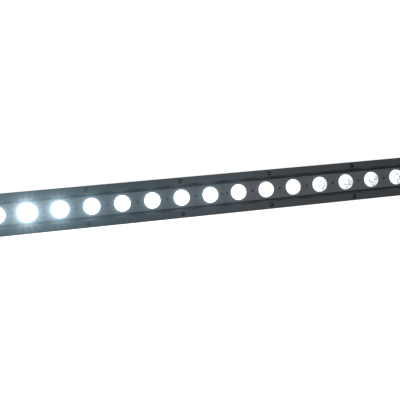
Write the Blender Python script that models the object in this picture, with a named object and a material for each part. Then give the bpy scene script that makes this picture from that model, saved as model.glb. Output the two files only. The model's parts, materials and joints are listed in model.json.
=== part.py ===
"""LED strip batten: a one metre stage lighting bar on two tilting floor brackets.

Sixteen round lenses sit in a recessed channel between two screwed front rails. The finned housing is one
extrusion, closed by a rear cover and two end caps, and holds the power supply and the control board.
Frame: +X along the bar, the light leaves towards -Y, +Z up, and the origin is on the floor under the middle.
Most parts hang from the empty "bar", whose origin is the middle of the front face, so inside the bar a point
is (x, depth behind the front face, height above the bar's axis). Lengths are in metres.
"""

import math

import bmesh
import bpy

# Driving dimensions
LED_PITCH = 0.060
LEDS_PER_MODULE = 8
FACE_HEIGHT = 0.0816
HOUSING_DEPTH = 0.092
BAR_LENGTH = 1.000
AXIS_HEIGHT = 0.085
GAP = 0.0003  # between neighbouring pieces
MARGIN = 0.001  # how far a cutter reaches past the surfaces it opens

# Ends of the bar
CAP_THICKNESS = 0.012
END_GASKET_THICKNESS = 0.001
CAP_OUTER_X = BAR_LENGTH / 2
CAP_INNER_X = CAP_OUTER_X - CAP_THICKNESS
END_GASKET_X = CAP_INNER_X - GAP - END_GASKET_THICKNESS
BODY_HALF = END_GASKET_X - GAP
CORNER_RADIUS = 0.003
CAP_BEVEL = 0.0015

# Front rails and their screws
HALF_FACE = FACE_HEIGHT / 2
RAIL_INNER_Z = 0.0235
RAIL_THICKNESS = 0.007
RAIL_CHAMFER = 0.0035
RAIL_EDGE_RADIUS = 0.0015
RAIL_SCREW_PITCH = 0.188
RAIL_SCREW_OFFSET = 0.0026  # the row's middle, to the right of the bar's
RAIL_SCREWS = 6
RAIL_SCREW_Z = 0.0325
SCREW_RADIUS = 0.002
SCREW_HOLE_RADIUS = SCREW_RADIUS + GAP
SCREW_HEAD_RADIUS = 0.0035
SCREW_HEAD_HEIGHT = 0.002
SCREW_HEAD_CROWN = 0.0012
COUNTERBORE_RADIUS = 0.0044
COUNTERBORE_DEPTH = 0.0038
SCREW_END = 0.013
HEX_SOCKET_RADIUS = 0.00145
HEX_SOCKET_DEPTH = 0.0012

# Housing extrusion
LAND_FRONT = RAIL_THICKNESS + GAP
LAND_BACK = LAND_FRONT + 0.006
FIN_COUNT = 13
FIN_GROOVE = 0.0035
GROOVE_FLOOR_Z = 0.037
BAY_HALF = 0.0345
CHANNEL_FLOOR = 0.0265
BAY_FRONT = 0.031
CHAMBER = (LAND_BACK + 0.001, 0.028, RAIL_INNER_Z + 0.003, BAY_HALF)
COVER_THICKNESS = 0.002
COVER_HALF = 0.036
COVER_FRONT = HOUSING_DEPTH - COVER_THICKNESS

# Light engine, from the channel floor forwards
BOARD_THICKNESS = 0.0016
BOARD_FRONT = CHANNEL_FLOOR - GAP - BOARD_THICKNESS
BOARD_HALF = 0.0179
EMITTER_SIDE = 0.005
EMITTER_HEIGHT = 0.0012
EMITTER_DOME_RADIUS = 0.0022
LENS_RADIUS = 0.0156
LENS_FLANGE_RADIUS = 0.0172
LENS_TIP = 0.0016
LENS_SHOULDER = 0.0055
LENS_BACK = BOARD_FRONT - GAP
LENS_WELL_RADIUS = 0.0039
LENS_WELL_FLOOR = 0.018
LENS_FLANGE_THICKNESS = 0.0015
LENS_WAIST = (0.0130, 0.0150)  # a radius and its depth, half way down the cone
LENS_FOOT_RADIUS = 0.0068
PANEL_FRONT = 0.006
PANEL_SHEET = 0.0015
PANEL_HALF = 0.020
PANEL_HOLE_RADIUS = LENS_RADIUS + 0.0004
PANEL_SCREW_RADIUS = 0.0016
PANEL_END_SCREW = 0.0057
MODULE_INNER_X = 0.00015
MODULE_OUTER_X = BODY_HALF - 2 * GAP
MODULE_LENGTH = LEDS_PER_MODULE * LED_PITCH
LED_CABLE_X = 0.150
LED_CABLE_WAY_RADIUS = 0.0045

# Tilt pivots
PIVOT_DEPTH = HOUSING_DEPTH / 2
STUD_RADIUS = 0.004
STUD_BORE_RADIUS = STUD_RADIUS + GAP
STUD_BORE_DEPTH = 0.0105
STUD_REACH = 0.010
STUD_CHAMFER = 0.001
BRACKET_HOLE_RADIUS = 0.0045
DISC_RADIUS = 0.016
DISC_THICKNESS = 0.0015
BRACKET_SHEET = 0.003
BRACKET_INNER_X = CAP_OUTER_X + DISC_THICKNESS + 2 * GAP
BRACKET_OUTER_X = BRACKET_INNER_X + BRACKET_SHEET
BRACKET_HALF_WIDTH = 0.030
BEND_RADIUS = 0.005
FOOT_END_X = 0.463
FOOT_BOLT_X = 0.482
FOOT_BOLT_RADIUS = 0.00625
KNOB_INNER_X = BRACKET_OUTER_X + GAP
KNOB_HUB_LENGTH = 0.006
KNOB_LENGTH = 0.022
KNOB_RADIUS = 0.0195
KNOB_LOBE = 0.0025
KNOB_LOBES = 6
KNOB_HUB_RADIUS = 0.010
KNOB_SHOULDER = 0.001
KNOB_CHAMFER = 0.0025
KNOB_FACE_SCALE = 0.88

# Rear of the housing
LUG_REACH = 0.020
OUTSIDE = HOUSING_DEPTH + GAP
TOTAL_DEPTH = OUTSIDE + LUG_REACH
FRONT_Y = -TOTAL_DEPTH / 2
POWER_X = 0.440
DATA_X = 0.395
LUG_X = 0.250
LUG_SHEET = 0.0025
LUG_HALF_LENGTH = 0.015
LUG_HALF_HEIGHT = 0.016
LUG_EYE_RADIUS = 0.006
FLANGE_HALF_WIDTH = 0.013
FLANGE_HALF_HEIGHT = 0.0155
FLANGE_THICKNESS = 0.0022
SOCKET_FACE = OUTSIDE + FLANGE_THICKNESS
BARREL_RADIUS = 0.0118
BARREL_LENGTH = 0.028
SOCKET_RADIUS = 0.0095
SOCKET_DEPTH = 0.015
POWER_POST_RADIUS = 0.0032
PIN_CIRCLE_RADIUS = 0.0048
PIN_RADIUS = 0.0012
CONTACT_LENGTH = 0.011
INSERT_RADIUS = 0.0077
INSERT_LENGTH = 0.0135
LATCH_SLOT_DEPTH = 0.0085
LATCH_DEPTH = 0.0058
LATCH_PROUD = 0.0018
LATCH_LOW = 0.0107
LATCH_HIGH = 0.0145
LATCH_HALF_WIDTH = 0.0035
LATCH_NOTCH_LOW = 0.008  # inside the barrel's opening, which the notch widens
BUTTON_SPACING = 0.016
BUTTON_X = 0.012
BUTTON_RADIUS = 0.0037
DISPLAY_X = -0.025
DISPLAY_HALF_WIDTH = 0.019
DISPLAY_HALF_HEIGHT = 0.009
WINDOW_PROUD = 0.0004
CONTROL_BOARD_FRONT = 0.0815
CONTROL_BOARD_BACK = CONTROL_BOARD_FRONT + BOARD_THICKNESS
CONTROL_BOARD_LOW = (-0.050, -0.022)
CONTROL_BOARD_HIGH = (0.070, 0.022)
PILLAR_INSET = 0.004
PILLAR_RADIUS = 0.0025
SWITCH_HEIGHT = 0.0021
DISPLAY_HEIGHT = 0.0055
CONNECTORS = (((-0.040, -0.015, -0.016, 0.004), 0.007), ((0.020, 0.036, 0.004, 0.018), 0.010))

# Inside the housing
SUPPLY_BOX = (-0.12, 0.11, -0.025, 0.025)
SUPPLY_BACK = 0.062
TERMINALS_BOX = (0.108, 0.122, -0.020, 0.020)
TERMINALS_BACK = 0.048
LED_CABLE_RADIUS = 0.0025

FINE = 24
COARSE = 12

AXES = {
    "X": lambda u, v, w: (w, u, v),
    "Y": lambda u, v, w: (u, w, v),
    "Z": lambda u, v, w: (u, v, w),
}


# Outlines: lists of (u, v) points. Across X they are (depth, height), across Y (x, height) and across Z
# (x, depth).


def arc(u, v, radius, start, end, steps):
    """Points along an arc from start to end, in degrees."""
    angles = [math.radians(start + (end - start) * i / steps) for i in range(steps + 1)]
    return [(u + radius * math.cos(a), v + radius * math.sin(a)) for a in angles]


def circle(u, v, radius, sides=COARSE):
    return arc(u, v, radius, 0, 360, sides)[:-1]


def rectangle(u_low, u_high, v_low, v_high):
    return [(u_low, v_low), (u_high, v_low), (u_high, v_high), (u_low, v_high)]


def rounded_rectangle(u_low, u_high, v_low, v_high, radius, steps=3):
    inside = rectangle(u_low + radius, u_high - radius, v_low + radius, v_high - radius)
    corners = zip(inside, (180, 270, 0, 90), strict=True)
    return [point for (u, v), start in corners for point in arc(u, v, radius, start, start + 90, steps)]


def mirrored(half):
    """Closes a half outline, given from its front to its back above the axis, with its reflection below."""
    return half + [(u, -v) for u, v in reversed(half)]


# Solids, added to a bmesh.


def add_prism(bm, axis, outline, start, end):
    """The outline, extruded along the axis from start to end."""
    place = AXES[axis]
    ends = [[bm.verts.new(place(u, v, w)) for u, v in outline] for w in (start, end)]
    for ring in ends:
        bm.faces.new(ring)
    join_rings(bm, *ends)


def add_loft(bm, axis, sections):
    """A solid through sections, each (position along the axis, outline). All have as many points."""
    place = AXES[axis]
    rings = [[bm.verts.new(place(u, v, w)) for u, v in outline] for w, outline in sections]
    bm.faces.new(rings[0])
    bm.faces.new(rings[-1])
    for lower, upper in zip(rings, rings[1:], strict=False):
        join_rings(bm, lower, upper)


def add_turned(bm, axis, centre, profile, sides=COARSE, closed=False):
    """A solid of revolution about a line along the axis. The profile is (radius, position along the axis)."""
    place = AXES[axis]
    rings = []
    for radius, w in profile:
        points = circle(*centre, radius, sides) if radius else [centre]
        rings.append([bm.verts.new(place(u, v, w)) for u, v in points])
    following = rings[1:] + rings[:1] if closed else rings[1:]
    for lower, upper in zip(rings, following, strict=False):
        join_rings(bm, lower, upper)


def join_rings(bm, lower, upper):
    """Faces between two rings of points, either of which may be a single point on the axis."""
    count = max(len(lower), len(upper))
    for i in range(count):
        j = (i + 1) % count
        corners = [lower[i % len(lower)], lower[j % len(lower)], upper[j % len(upper)], upper[i % len(upper)]]
        bm.faces.new(dict.fromkeys(corners))


# Objects


def clear_scene():
    for obj in list(bpy.data.objects):
        bpy.data.objects.remove(obj)


def make_material(name, colour, roughness, metallic=0.0):
    material = bpy.data.materials.new(name)
    material.use_nodes = True
    shader = material.node_tree.nodes["Principled BSDF"]
    shader.inputs["Base Color"].default_value = (*colour, 1.0)
    shader.inputs["Roughness"].default_value = roughness
    shader.inputs["Metallic"].default_value = metallic
    material.diffuse_color = (*colour, 1.0)
    return material


def make_empty(name, location, parent=None):
    empty = bpy.data.objects.new(name, None)
    bpy.context.scene.collection.objects.link(empty)
    empty.location = location
    empty.parent = parent
    return empty


def make_object(name, bm, parent, material=None, smooth=False):
    bmesh.ops.recalc_face_normals(bm, faces=bm.faces)
    mesh = bpy.data.meshes.new(name)
    bm.to_mesh(mesh)
    bm.free()
    if smooth:
        mesh.shade_smooth()
        mesh.set_sharp_from_angle(angle=math.radians(35))
    obj = bpy.data.objects.new(name, mesh)
    bpy.context.scene.collection.objects.link(obj)
    obj.parent = parent
    if material:
        mesh.materials.append(material)
    return obj


def combine(obj, bm, operation, name):
    """Cuts obj with the solids in bm, joins them to it, or keeps only what lies in them."""
    tool = make_object(f"{obj.name}_{name}", bm, obj.parent)
    tool.hide_render = True
    tool.display_type = "WIRE"
    modifier = obj.modifiers.new(name, "BOOLEAN")
    modifier.operation = operation
    modifier.object = tool


def cut_holes(obj, axis, outlines, start, end, name="holes"):
    bm = bmesh.new()
    for outline in outlines:
        add_prism(bm, axis, outline, start, end)
    combine(obj, bm, "DIFFERENCE", name)


def prism_object(name, axis, outline, start, end, parent, material, smooth=False):
    bm = bmesh.new()
    add_prism(bm, axis, outline, start, end)
    return make_object(name, bm, parent, material, smooth)


def turned_object(name, axis, centre, profile, parent, material, sides=COARSE, closed=False):
    bm = bmesh.new()
    add_turned(bm, axis, centre, profile, sides, closed)
    return make_object(name, bm, parent, material, smooth=True)


def tube_object(name, points, radius, parent, material):
    """A cable along a smooth curve through the points."""
    route = smooth_route(points)
    curve = bpy.data.curves.new(name, "CURVE")
    curve.dimensions = "3D"
    curve.bevel_depth = radius
    curve.bevel_resolution = 2
    curve.use_fill_caps = True
    spline = curve.splines.new("POLY")
    spline.points.add(len(route) - 1)
    for point, place in zip(spline.points, route, strict=True):
        point.co = (*place, 1.0)
    obj = bpy.data.objects.new(name, curve)
    bpy.context.scene.collection.objects.link(obj)
    obj.parent = parent
    curve.materials.append(material)
    return obj


def smooth_route(points, steps=3):
    """Catmull-Rom points through the given ones."""
    padded = [points[0], *points, points[-1]]
    route = []
    for a, b, c, d in zip(padded, padded[1:], padded[2:], padded[3:], strict=False):
        for i in range(steps):
            t = i / steps
            weights = (
                -0.5 * t + t**2 - 0.5 * t**3,
                1 - 2.5 * t**2 + 1.5 * t**3,
                0.5 * t + 2 * t**2 - 1.5 * t**3,
                -0.5 * t**2 + 0.5 * t**3,
            )
            corners = zip(a, b, c, d, strict=True)
            route.append(tuple(sum(w * x for w, x in zip(weights, ps, strict=True)) for ps in corners))
    return [*route, points[-1]]


def rail_screw_places():
    first = RAIL_SCREW_OFFSET - (RAIL_SCREWS - 1) / 2 * RAIL_SCREW_PITCH
    return [first + i * RAIL_SCREW_PITCH for i in range(RAIL_SCREWS)]


def led_places(side):
    return [side * (i + 0.5) * LED_PITCH for i in range(LEDS_PER_MODULE)]


def panel_screw_places(side):
    between = [i * LED_PITCH for i in range(1, LEDS_PER_MODULE)]
    last = LEDS_PER_MODULE * LED_PITCH - PANEL_END_SCREW
    return [side * x for x in (PANEL_END_SCREW, *between, last)]


# Housing and rails


def make_housing(bar, finish):
    """The extrusion: a light channel in front, an electronics bay behind, and fins above and below."""
    pitch = (HOUSING_DEPTH - LAND_BACK) / FIN_COUNT
    half = [(CHANNEL_FLOOR, RAIL_INNER_Z), (LAND_FRONT, RAIL_INNER_Z), (LAND_FRONT, HALF_FACE)]
    for i in range(FIN_COUNT):
        groove = LAND_BACK + i * pitch
        half += [(groove, HALF_FACE), (groove, GROOVE_FLOOR_Z)]
        half += [(groove + FIN_GROOVE, GROOVE_FLOOR_Z), (groove + FIN_GROOVE, HALF_FACE)]
    half += [(HOUSING_DEPTH, HALF_FACE), (HOUSING_DEPTH, COVER_HALF + GAP)]
    half += [(COVER_FRONT - GAP, COVER_HALF + GAP), (COVER_FRONT - GAP, BAY_HALF), (BAY_FRONT, BAY_HALF)]
    housing = prism_object("housing", "X", mirrored(half), -BODY_HALF, BODY_HALF, bar, finish)
    front, back, low, high = CHAMBER
    chambers = [rectangle(front, back, low, high), rectangle(front, back, -high, -low)]
    cut_holes(housing, "X", chambers, -BAR_LENGTH, BAR_LENGTH, "chambers")
    threads = [circle(x, s * RAIL_SCREW_Z, SCREW_HOLE_RADIUS) for x in rail_screw_places() for s in (1, -1)]
    cut_holes(housing, "Y", threads, LAND_FRONT - MARGIN, CHAMBER[0] + MARGIN, "threads")
    cable_way = [circle(LED_CABLE_X, 0, LED_CABLE_WAY_RADIUS)]
    cut_holes(housing, "Y", cable_way, CHANNEL_FLOOR - MARGIN, BAY_FRONT + MARGIN, "cable_way")


def make_rail(name, side, bar, finish):
    """One front rail: side is 1 for the upper one and -1 for the lower one."""
    outer = arc(RAIL_EDGE_RADIUS, HALF_FACE - RAIL_EDGE_RADIUS, RAIL_EDGE_RADIUS, 90, 180, 3)
    outline = [(RAIL_THICKNESS, HALF_FACE), *outer, (0, RAIL_INNER_Z + RAIL_CHAMFER)]
    outline += [(RAIL_CHAMFER, RAIL_INNER_Z), (RAIL_THICKNESS, RAIL_INNER_Z)]
    outline = [(u, side * v) for u, v in outline]
    rail = prism_object(f"{name}_front_rail", "X", outline, -BODY_HALF, BODY_HALF, bar, finish)
    centres = [(x, side * RAIL_SCREW_Z) for x in rail_screw_places()]
    bores = [circle(*c, SCREW_HOLE_RADIUS) for c in centres]
    cut_holes(rail, "Y", bores, -MARGIN, RAIL_THICKNESS + MARGIN, "bores")
    seats = [circle(*c, COUNTERBORE_RADIUS) for c in centres]
    cut_holes(rail, "Y", seats, -MARGIN, COUNTERBORE_DEPTH, "seats")


def make_rail_screws(bar, steel):
    """Button head screws, six in each rail, their heads sunk in the counterbores."""
    under = COUNTERBORE_DEPTH - GAP
    top = under - SCREW_HEAD_HEIGHT
    profile = [(0, top), (SCREW_HEAD_RADIUS * 0.6, top), (SCREW_HEAD_RADIUS, top + SCREW_HEAD_CROWN)]
    profile += [(SCREW_HEAD_RADIUS, under), (SCREW_RADIUS, under), (SCREW_RADIUS, SCREW_END), (0, SCREW_END)]
    for row, side in (("upper", 1), ("lower", -1)):
        for number, x in enumerate(rail_screw_places(), start=1):
            centre = (x, side * RAIL_SCREW_Z)
            name = f"{row}_rail_screw_{number}"
            screw = turned_object(name, "Y", centre, profile, bar, steel)
            socket = [circle(*centre, HEX_SOCKET_RADIUS, 6)]
            cut_holes(screw, "Y", socket, top - MARGIN, top + HEX_SOCKET_DEPTH)


# Light engine


def make_led_board(name, side, bar, material):
    """A circuit board with its eight soldered emitters."""
    low, high = sorted((side * MODULE_INNER_X, side * MODULE_LENGTH))
    flat = rectangle(low, high, -BOARD_HALF, BOARD_HALF)
    back = BOARD_FRONT + BOARD_THICKNESS
    board = prism_object(f"{name}_led_board", "Y", flat, BOARD_FRONT, back, bar, material)
    bm = bmesh.new()
    top = BOARD_FRONT - EMITTER_HEIGHT
    half = EMITTER_SIDE / 2
    for x in led_places(side):
        add_prism(bm, "Y", rectangle(x - half, x + half, -half, half), top, BOARD_FRONT + BOARD_THICKNESS / 2)
    combine(board, bm, "UNION", "emitter_bases")
    bm = bmesh.new()
    radius = EMITTER_DOME_RADIUS
    angles = [math.radians(a) for a in (0, 30, 60)]
    profile = [(0, BOARD_FRONT), (radius, BOARD_FRONT)]
    profile += [(radius * math.cos(a), top - radius * math.sin(a)) for a in angles]
    for x in led_places(side):
        add_turned(bm, "Y", (x, 0), [*profile, (0, top - radius)], sides=8)
    combine(board, bm, "UNION", "emitter_domes")


def make_lenses(bar, clear):
    """Sixteen collimating lenses, each over an emitter on its board and kept in the panel by its flange."""
    bulge = LENS_SHOULDER - LENS_TIP
    dome = [(LENS_RADIUS * k, LENS_SHOULDER - bulge * math.sqrt(1 - 0.8 * k * k)) for k in (0, 0.45, 0.8, 1)]
    flange_front = PANEL_FRONT + PANEL_SHEET + GAP
    flange = [(LENS_RADIUS, flange_front), (LENS_FLANGE_RADIUS, flange_front)]
    flange += [(LENS_FLANGE_RADIUS, flange_front + LENS_FLANGE_THICKNESS)]
    body = [LENS_WAIST, (LENS_FOOT_RADIUS, LENS_BACK), (LENS_WELL_RADIUS, LENS_BACK)]
    body += [(LENS_WELL_RADIUS, LENS_WELL_FLOOR), (0, LENS_WELL_FLOOR)]
    profile = [*dome, *flange, *body]
    places = sorted(led_places(-1) + led_places(1))
    for number, x in enumerate(places, start=1):
        turned_object(f"lens_{number:02}", "Y", (x, 0), profile, bar, clear, sides=16)


def make_lens_panel(name, side, bar, paint):
    """A folded sheet channel over eight lenses. Its sides stand on the channel floor."""
    low, high = sorted((side * MODULE_INNER_X, side * MODULE_OUTER_X))
    inner = PANEL_HALF - PANEL_SHEET
    half = [(CHANNEL_FLOOR - GAP, PANEL_HALF), (PANEL_FRONT, PANEL_HALF)]
    inside = [(PANEL_FRONT + PANEL_SHEET, inner), (CHANNEL_FLOOR - GAP, inner)]
    outline = half + [(u, -v) for u, v in reversed(half)]
    outline += [(u, -v) for u, v in reversed(inside)] + inside
    panel = prism_object(f"{name}_lens_panel", "X", outline, low, high, bar, paint)
    holes = [circle(x, 0, PANEL_HOLE_RADIUS, 16) for x in led_places(side)]
    holes += [circle(x, 0, PANEL_SCREW_RADIUS, 6) for x in panel_screw_places(side)]
    cut_holes(panel, "Y", holes, PANEL_FRONT - MARGIN, PANEL_FRONT + PANEL_SHEET + MARGIN)


# Ends and tilt pivots


def make_end(name, side, bar, finish, rubber):
    """End cap with a bore for the tilt stud, and its gasket. side is -1 on the left and 1 on the right."""
    outline = rounded_rectangle(0, HOUSING_DEPTH, -HALF_FACE, HALF_FACE, CORNER_RADIUS)
    inset = rounded_rectangle(
        CAP_BEVEL, HOUSING_DEPTH - CAP_BEVEL, CAP_BEVEL - HALF_FACE, HALF_FACE - CAP_BEVEL, CORNER_RADIUS
    )
    sections = [(CAP_INNER_X, outline), (CAP_OUTER_X - CAP_BEVEL, outline), (CAP_OUTER_X, inset)]
    bm = bmesh.new()
    add_loft(bm, "X", [(side * x, points) for x, points in sections])
    cap = make_object(f"{name}_end_cap", bm, bar, finish)
    bore = circle(PIVOT_DEPTH, 0, STUD_BORE_RADIUS)
    cut_holes(cap, "X", [bore], side * (CAP_OUTER_X - STUD_BORE_DEPTH), side * (CAP_OUTER_X + MARGIN))
    gasket = prism_object(
        f"{name}_end_gasket", "X", outline, side * END_GASKET_X, side * (CAP_INNER_X - GAP), bar, rubber
    )
    window = rounded_rectangle(BAY_FRONT, COVER_FRONT, -BAY_HALF, BAY_HALF, CORNER_RADIUS)
    cut_holes(gasket, "X", [window], side * (END_GASKET_X - MARGIN), side * CAP_INNER_X)


def make_friction_disc(name, side, bar, material):
    """The ring between the end cap and the bracket that holds the tilt when the knob clamps it."""
    inner, outer = CAP_OUTER_X + GAP, CAP_OUTER_X + GAP + DISC_THICKNESS
    profile = [(BRACKET_HOLE_RADIUS, inner), (DISC_RADIUS, inner)]
    profile += [(DISC_RADIUS, outer), (BRACKET_HOLE_RADIUS, outer)]
    profile = [(radius, side * x) for radius, x in profile]
    turned_object(f"{name}_friction_disc", "X", (PIVOT_DEPTH, 0), profile, bar, material, FINE, closed=True)


def make_bracket(name, side, tilt_axis, steel):
    """A folded steel bracket: an arched arm on the tilt axis, and a foot that runs in under the bar."""
    floor = -AXIS_HEIGHT
    bend = BEND_RADIUS - BRACKET_SHEET
    outer = arc(BRACKET_OUTER_X - BEND_RADIUS, floor + BEND_RADIUS, BEND_RADIUS, 270, 360, 4)
    inner = arc(BRACKET_INNER_X - bend, floor + BEND_RADIUS, bend, 360, 270, 4)
    outline = [(FOOT_END_X, floor), *outer, (BRACKET_OUTER_X, BRACKET_HALF_WIDTH)]
    outline += [(BRACKET_INNER_X, BRACKET_HALF_WIDTH), *inner, (FOOT_END_X, floor + BRACKET_SHEET)]
    outline = [(side * x, z) for x, z in outline]
    half = BRACKET_HALF_WIDTH
    bracket = prism_object(f"{name}_bracket", "Y", outline, -half, half, tilt_axis, steel, smooth=True)
    corners = []
    for v in (1, -1):
        round_end = arc(0, 0, half, 90, 90 - 90 * v, 8)
        outside = half + 5 * MARGIN
        corners.append([*round_end, (v * outside, 0), (v * outside, outside), (0, outside)])
    through = side * (BRACKET_INNER_X - MARGIN), side * (BRACKET_OUTER_X + MARGIN)
    cut_holes(bracket, "X", corners, *through, "arch")
    cut_holes(bracket, "X", [circle(0, 0, BRACKET_HOLE_RADIUS)], *through, "pivot")
    bolt = [circle(side * FOOT_BOLT_X, 0, FOOT_BOLT_RADIUS, 16)]
    cut_holes(bracket, "Z", bolt, floor - MARGIN, floor + BRACKET_SHEET + MARGIN, "foot_hole")


def knob_outline(scale=1.0):
    """A round grip with shallow lobes."""
    count = KNOB_LOBES * 6
    angles = [math.tau * i / count for i in range(count)]
    radii = [scale * (KNOB_RADIUS + KNOB_LOBE * math.cos(KNOB_LOBES * a)) for a in angles]
    return [(r * math.cos(a), r * math.sin(a)) for r, a in zip(radii, angles, strict=True)]


def make_knob(name, side, tilt_axis, plastic):
    """The tilt lock: a lobed grip moulded round its threaded stud, which screws into the end cap."""
    hub = circle(0, 0, KNOB_HUB_RADIUS, KNOB_LOBES * 6)
    hub_end = KNOB_INNER_X + KNOB_HUB_LENGTH
    outer = KNOB_INNER_X + KNOB_LENGTH
    sections = [(KNOB_INNER_X, hub), (hub_end, hub), (hub_end + KNOB_SHOULDER, knob_outline())]
    sections += [(outer - KNOB_CHAMFER, knob_outline()), (outer, knob_outline(KNOB_FACE_SCALE))]
    bm = bmesh.new()
    add_loft(bm, "X", [(side * x, outline) for x, outline in sections])
    knob = make_object(f"{name}_tilt_knob", bm, tilt_axis, plastic, smooth=True)
    tip = CAP_OUTER_X - STUD_REACH
    profile = [(0, tip), (STUD_RADIUS - STUD_CHAMFER, tip), (STUD_RADIUS, tip + STUD_CHAMFER)]
    profile += [(STUD_RADIUS, hub_end), (0, hub_end)]
    bm = bmesh.new()
    add_turned(bm, "X", (0, 0), [(radius, side * x) for radius, x in profile])
    combine(knob, bm, "UNION", "stud")


# Rear cover, controls and sockets


def make_rear_cover(bar, paint):
    outline = rectangle(COVER_FRONT, HOUSING_DEPTH, -COVER_HALF, COVER_HALF)
    cover = prism_object("rear_cover", "X", outline, -MODULE_OUTER_X, MODULE_OUTER_X, bar, paint)
    holes = [circle(s * x, 0, BARREL_RADIUS + GAP, 16) for x in (POWER_X, DATA_X) for s in (-1, 1)]
    holes += [circle(x, 0, BUTTON_RADIUS + GAP) for x in button_places()]
    holes += [display_outline(0)]
    through = COVER_FRONT - MARGIN, HOUSING_DEPTH + MARGIN
    cut_holes(cover, "Y", holes, *through)
    half = LATCH_HALF_WIDTH + 0.001
    notch = rectangle(DATA_X - half, DATA_X + half, LATCH_NOTCH_LOW, LATCH_HIGH + GAP)
    cut_holes(cover, "Y", [notch], *through, "latch_notch")


def button_places():
    return [BUTTON_X + i * BUTTON_SPACING for i in range(4)]


def display_outline(margin):
    half_width, half_height = DISPLAY_HALF_WIDTH - margin, DISPLAY_HALF_HEIGHT - margin
    return rectangle(DISPLAY_X - half_width, DISPLAY_X + half_width, -half_height, half_height)


def make_socket(name, x, bar, material):
    """A panel socket: a flange outside the cover, a barrel behind it, and a round mouth."""
    low, high = x - FLANGE_HALF_WIDTH, x + FLANGE_HALF_WIDTH
    flange = rounded_rectangle(low, high, -FLANGE_HALF_HEIGHT, FLANGE_HALF_HEIGHT, CORNER_RADIUS)
    socket = prism_object(name, "Y", flange, OUTSIDE, SOCKET_FACE, bar, material)
    bm = bmesh.new()
    add_prism(bm, "Y", circle(x, 0, BARREL_RADIUS, 16), SOCKET_FACE - BARREL_LENGTH, SOCKET_FACE - MARGIN)
    combine(socket, bm, "UNION", "barrel")
    mouth = [circle(x, 0, SOCKET_RADIUS, 16)]
    cut_holes(socket, "Y", mouth, SOCKET_FACE - SOCKET_DEPTH, SOCKET_FACE + MARGIN, "mouth")
    return socket


def add_contacts(socket, places, radius, length):
    """Contacts that stand on the floor of a socket's mouth."""
    floor = SOCKET_FACE - SOCKET_DEPTH
    bm = bmesh.new()
    for x, z in places:
        add_prism(bm, "Y", circle(x, z, radius, 8), floor - MARGIN, floor + length)
    combine(socket, bm, "UNION", "contacts")


def make_sockets(bar, plastic, steel):
    """Power and data come in on the left and go out to the next bar on the right."""
    for name, side in (("power_inlet", -1), ("power_outlet", 1)):
        socket = make_socket(name, side * POWER_X, bar, plastic)
        add_contacts(socket, [(side * POWER_X, 0)], POWER_POST_RADIUS, CONTACT_LENGTH)
    inlet = make_socket("data_inlet", -DATA_X, bar, steel)
    pins = arc(-DATA_X, 0, PIN_CIRCLE_RADIUS, 90, 330, 2)
    add_contacts(inlet, pins, PIN_RADIUS, CONTACT_LENGTH)
    outlet = make_socket("data_outlet", DATA_X, bar, steel)
    add_contacts(outlet, [(DATA_X, 0)], INSERT_RADIUS, INSERT_LENGTH)
    slot = rectangle(DATA_X - LATCH_HALF_WIDTH - GAP, DATA_X + LATCH_HALF_WIDTH + GAP, LATCH_LOW, LATCH_HIGH)
    cut_holes(outlet, "Y", [slot], OUTSIDE - LATCH_SLOT_DEPTH, SOCKET_FACE + MARGIN, "latch_slot")
    travel = make_empty("data_latch_travel", (DATA_X, OUTSIDE, 0), bar)
    tab = rectangle(-LATCH_HALF_WIDTH, LATCH_HALF_WIDTH, LATCH_LOW + GAP, LATCH_HIGH - GAP)
    end = FLANGE_THICKNESS + LATCH_PROUD
    prism_object("data_outlet_latch", "Y", tab, -LATCH_DEPTH, end, travel, steel)


def make_display_window(bar, clear):
    outline = display_outline(GAP)
    front, back = COVER_FRONT - 0.0007, HOUSING_DEPTH + WINDOW_PROUD
    prism_object("display_window", "Y", outline, front, back, bar, clear)


def make_control_board(bar, material):
    """The board with its switches, display, connectors and the pillars that hold it to the rear cover."""
    front, back = CONTROL_BOARD_FRONT, CONTROL_BOARD_BACK
    low, high = CONTROL_BOARD_LOW, CONTROL_BOARD_HIGH
    flat = rectangle(low[0], high[0], low[1], high[1])
    board = prism_object("control_board", "Y", flat, front, back, bar, material)
    middle = (front + back) / 2
    bm = bmesh.new()
    for x in button_places():
        add_prism(bm, "Y", rectangle(x - 0.003, x + 0.003, -0.003, 0.003), middle, back + SWITCH_HEIGHT)
    for x in (low[0] + PILLAR_INSET, high[0] - PILLAR_INSET):
        for z in (low[1] + PILLAR_INSET, high[1] - PILLAR_INSET):
            add_prism(bm, "Y", circle(x, z, PILLAR_RADIUS, 6), middle, COVER_FRONT - GAP)
    display = rectangle(DISPLAY_X - 0.015, DISPLAY_X + 0.015, -0.007, 0.007)
    add_prism(bm, "Y", display, middle, back + DISPLAY_HEIGHT)
    for outline, height in CONNECTORS:
        add_prism(bm, "Y", rectangle(*outline), front - height, middle)
    combine(board, bm, "UNION", "components")


def make_buttons(bar, plastic):
    """Four keys, each kept in the cover by its flange."""
    stem, flange, grip = 0.002, 0.0046, BUTTON_RADIUS
    profile = [(0, -0.0055), (stem, -0.0055), (stem, -0.0040), (flange, -0.0040), (flange, -0.0026)]
    profile += [(grip, -0.0026), (grip, 0.0015), (grip - 0.0005, 0.0020), (0, 0.0020)]
    for name, x in zip(("menu", "down", "up", "enter"), button_places(), strict=True):
        travel = make_empty(f"{name}_button_travel", (x, HOUSING_DEPTH, 0), bar)
        turned_object(f"{name}_button", "Y", (0, 0), profile, travel, plastic)


def make_power_supply(bar, aluminium):
    """An enclosed supply on the bay's front wall, with its terminal block on one end."""
    start = BAY_FRONT + GAP
    case = prism_object("power_supply", "Y", rectangle(*SUPPLY_BOX), start, SUPPLY_BACK, bar, aluminium)
    bm = bmesh.new()
    add_prism(bm, "Y", rectangle(*TERMINALS_BOX), start, TERMINALS_BACK)
    combine(case, bm, "UNION", "terminals")


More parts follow.
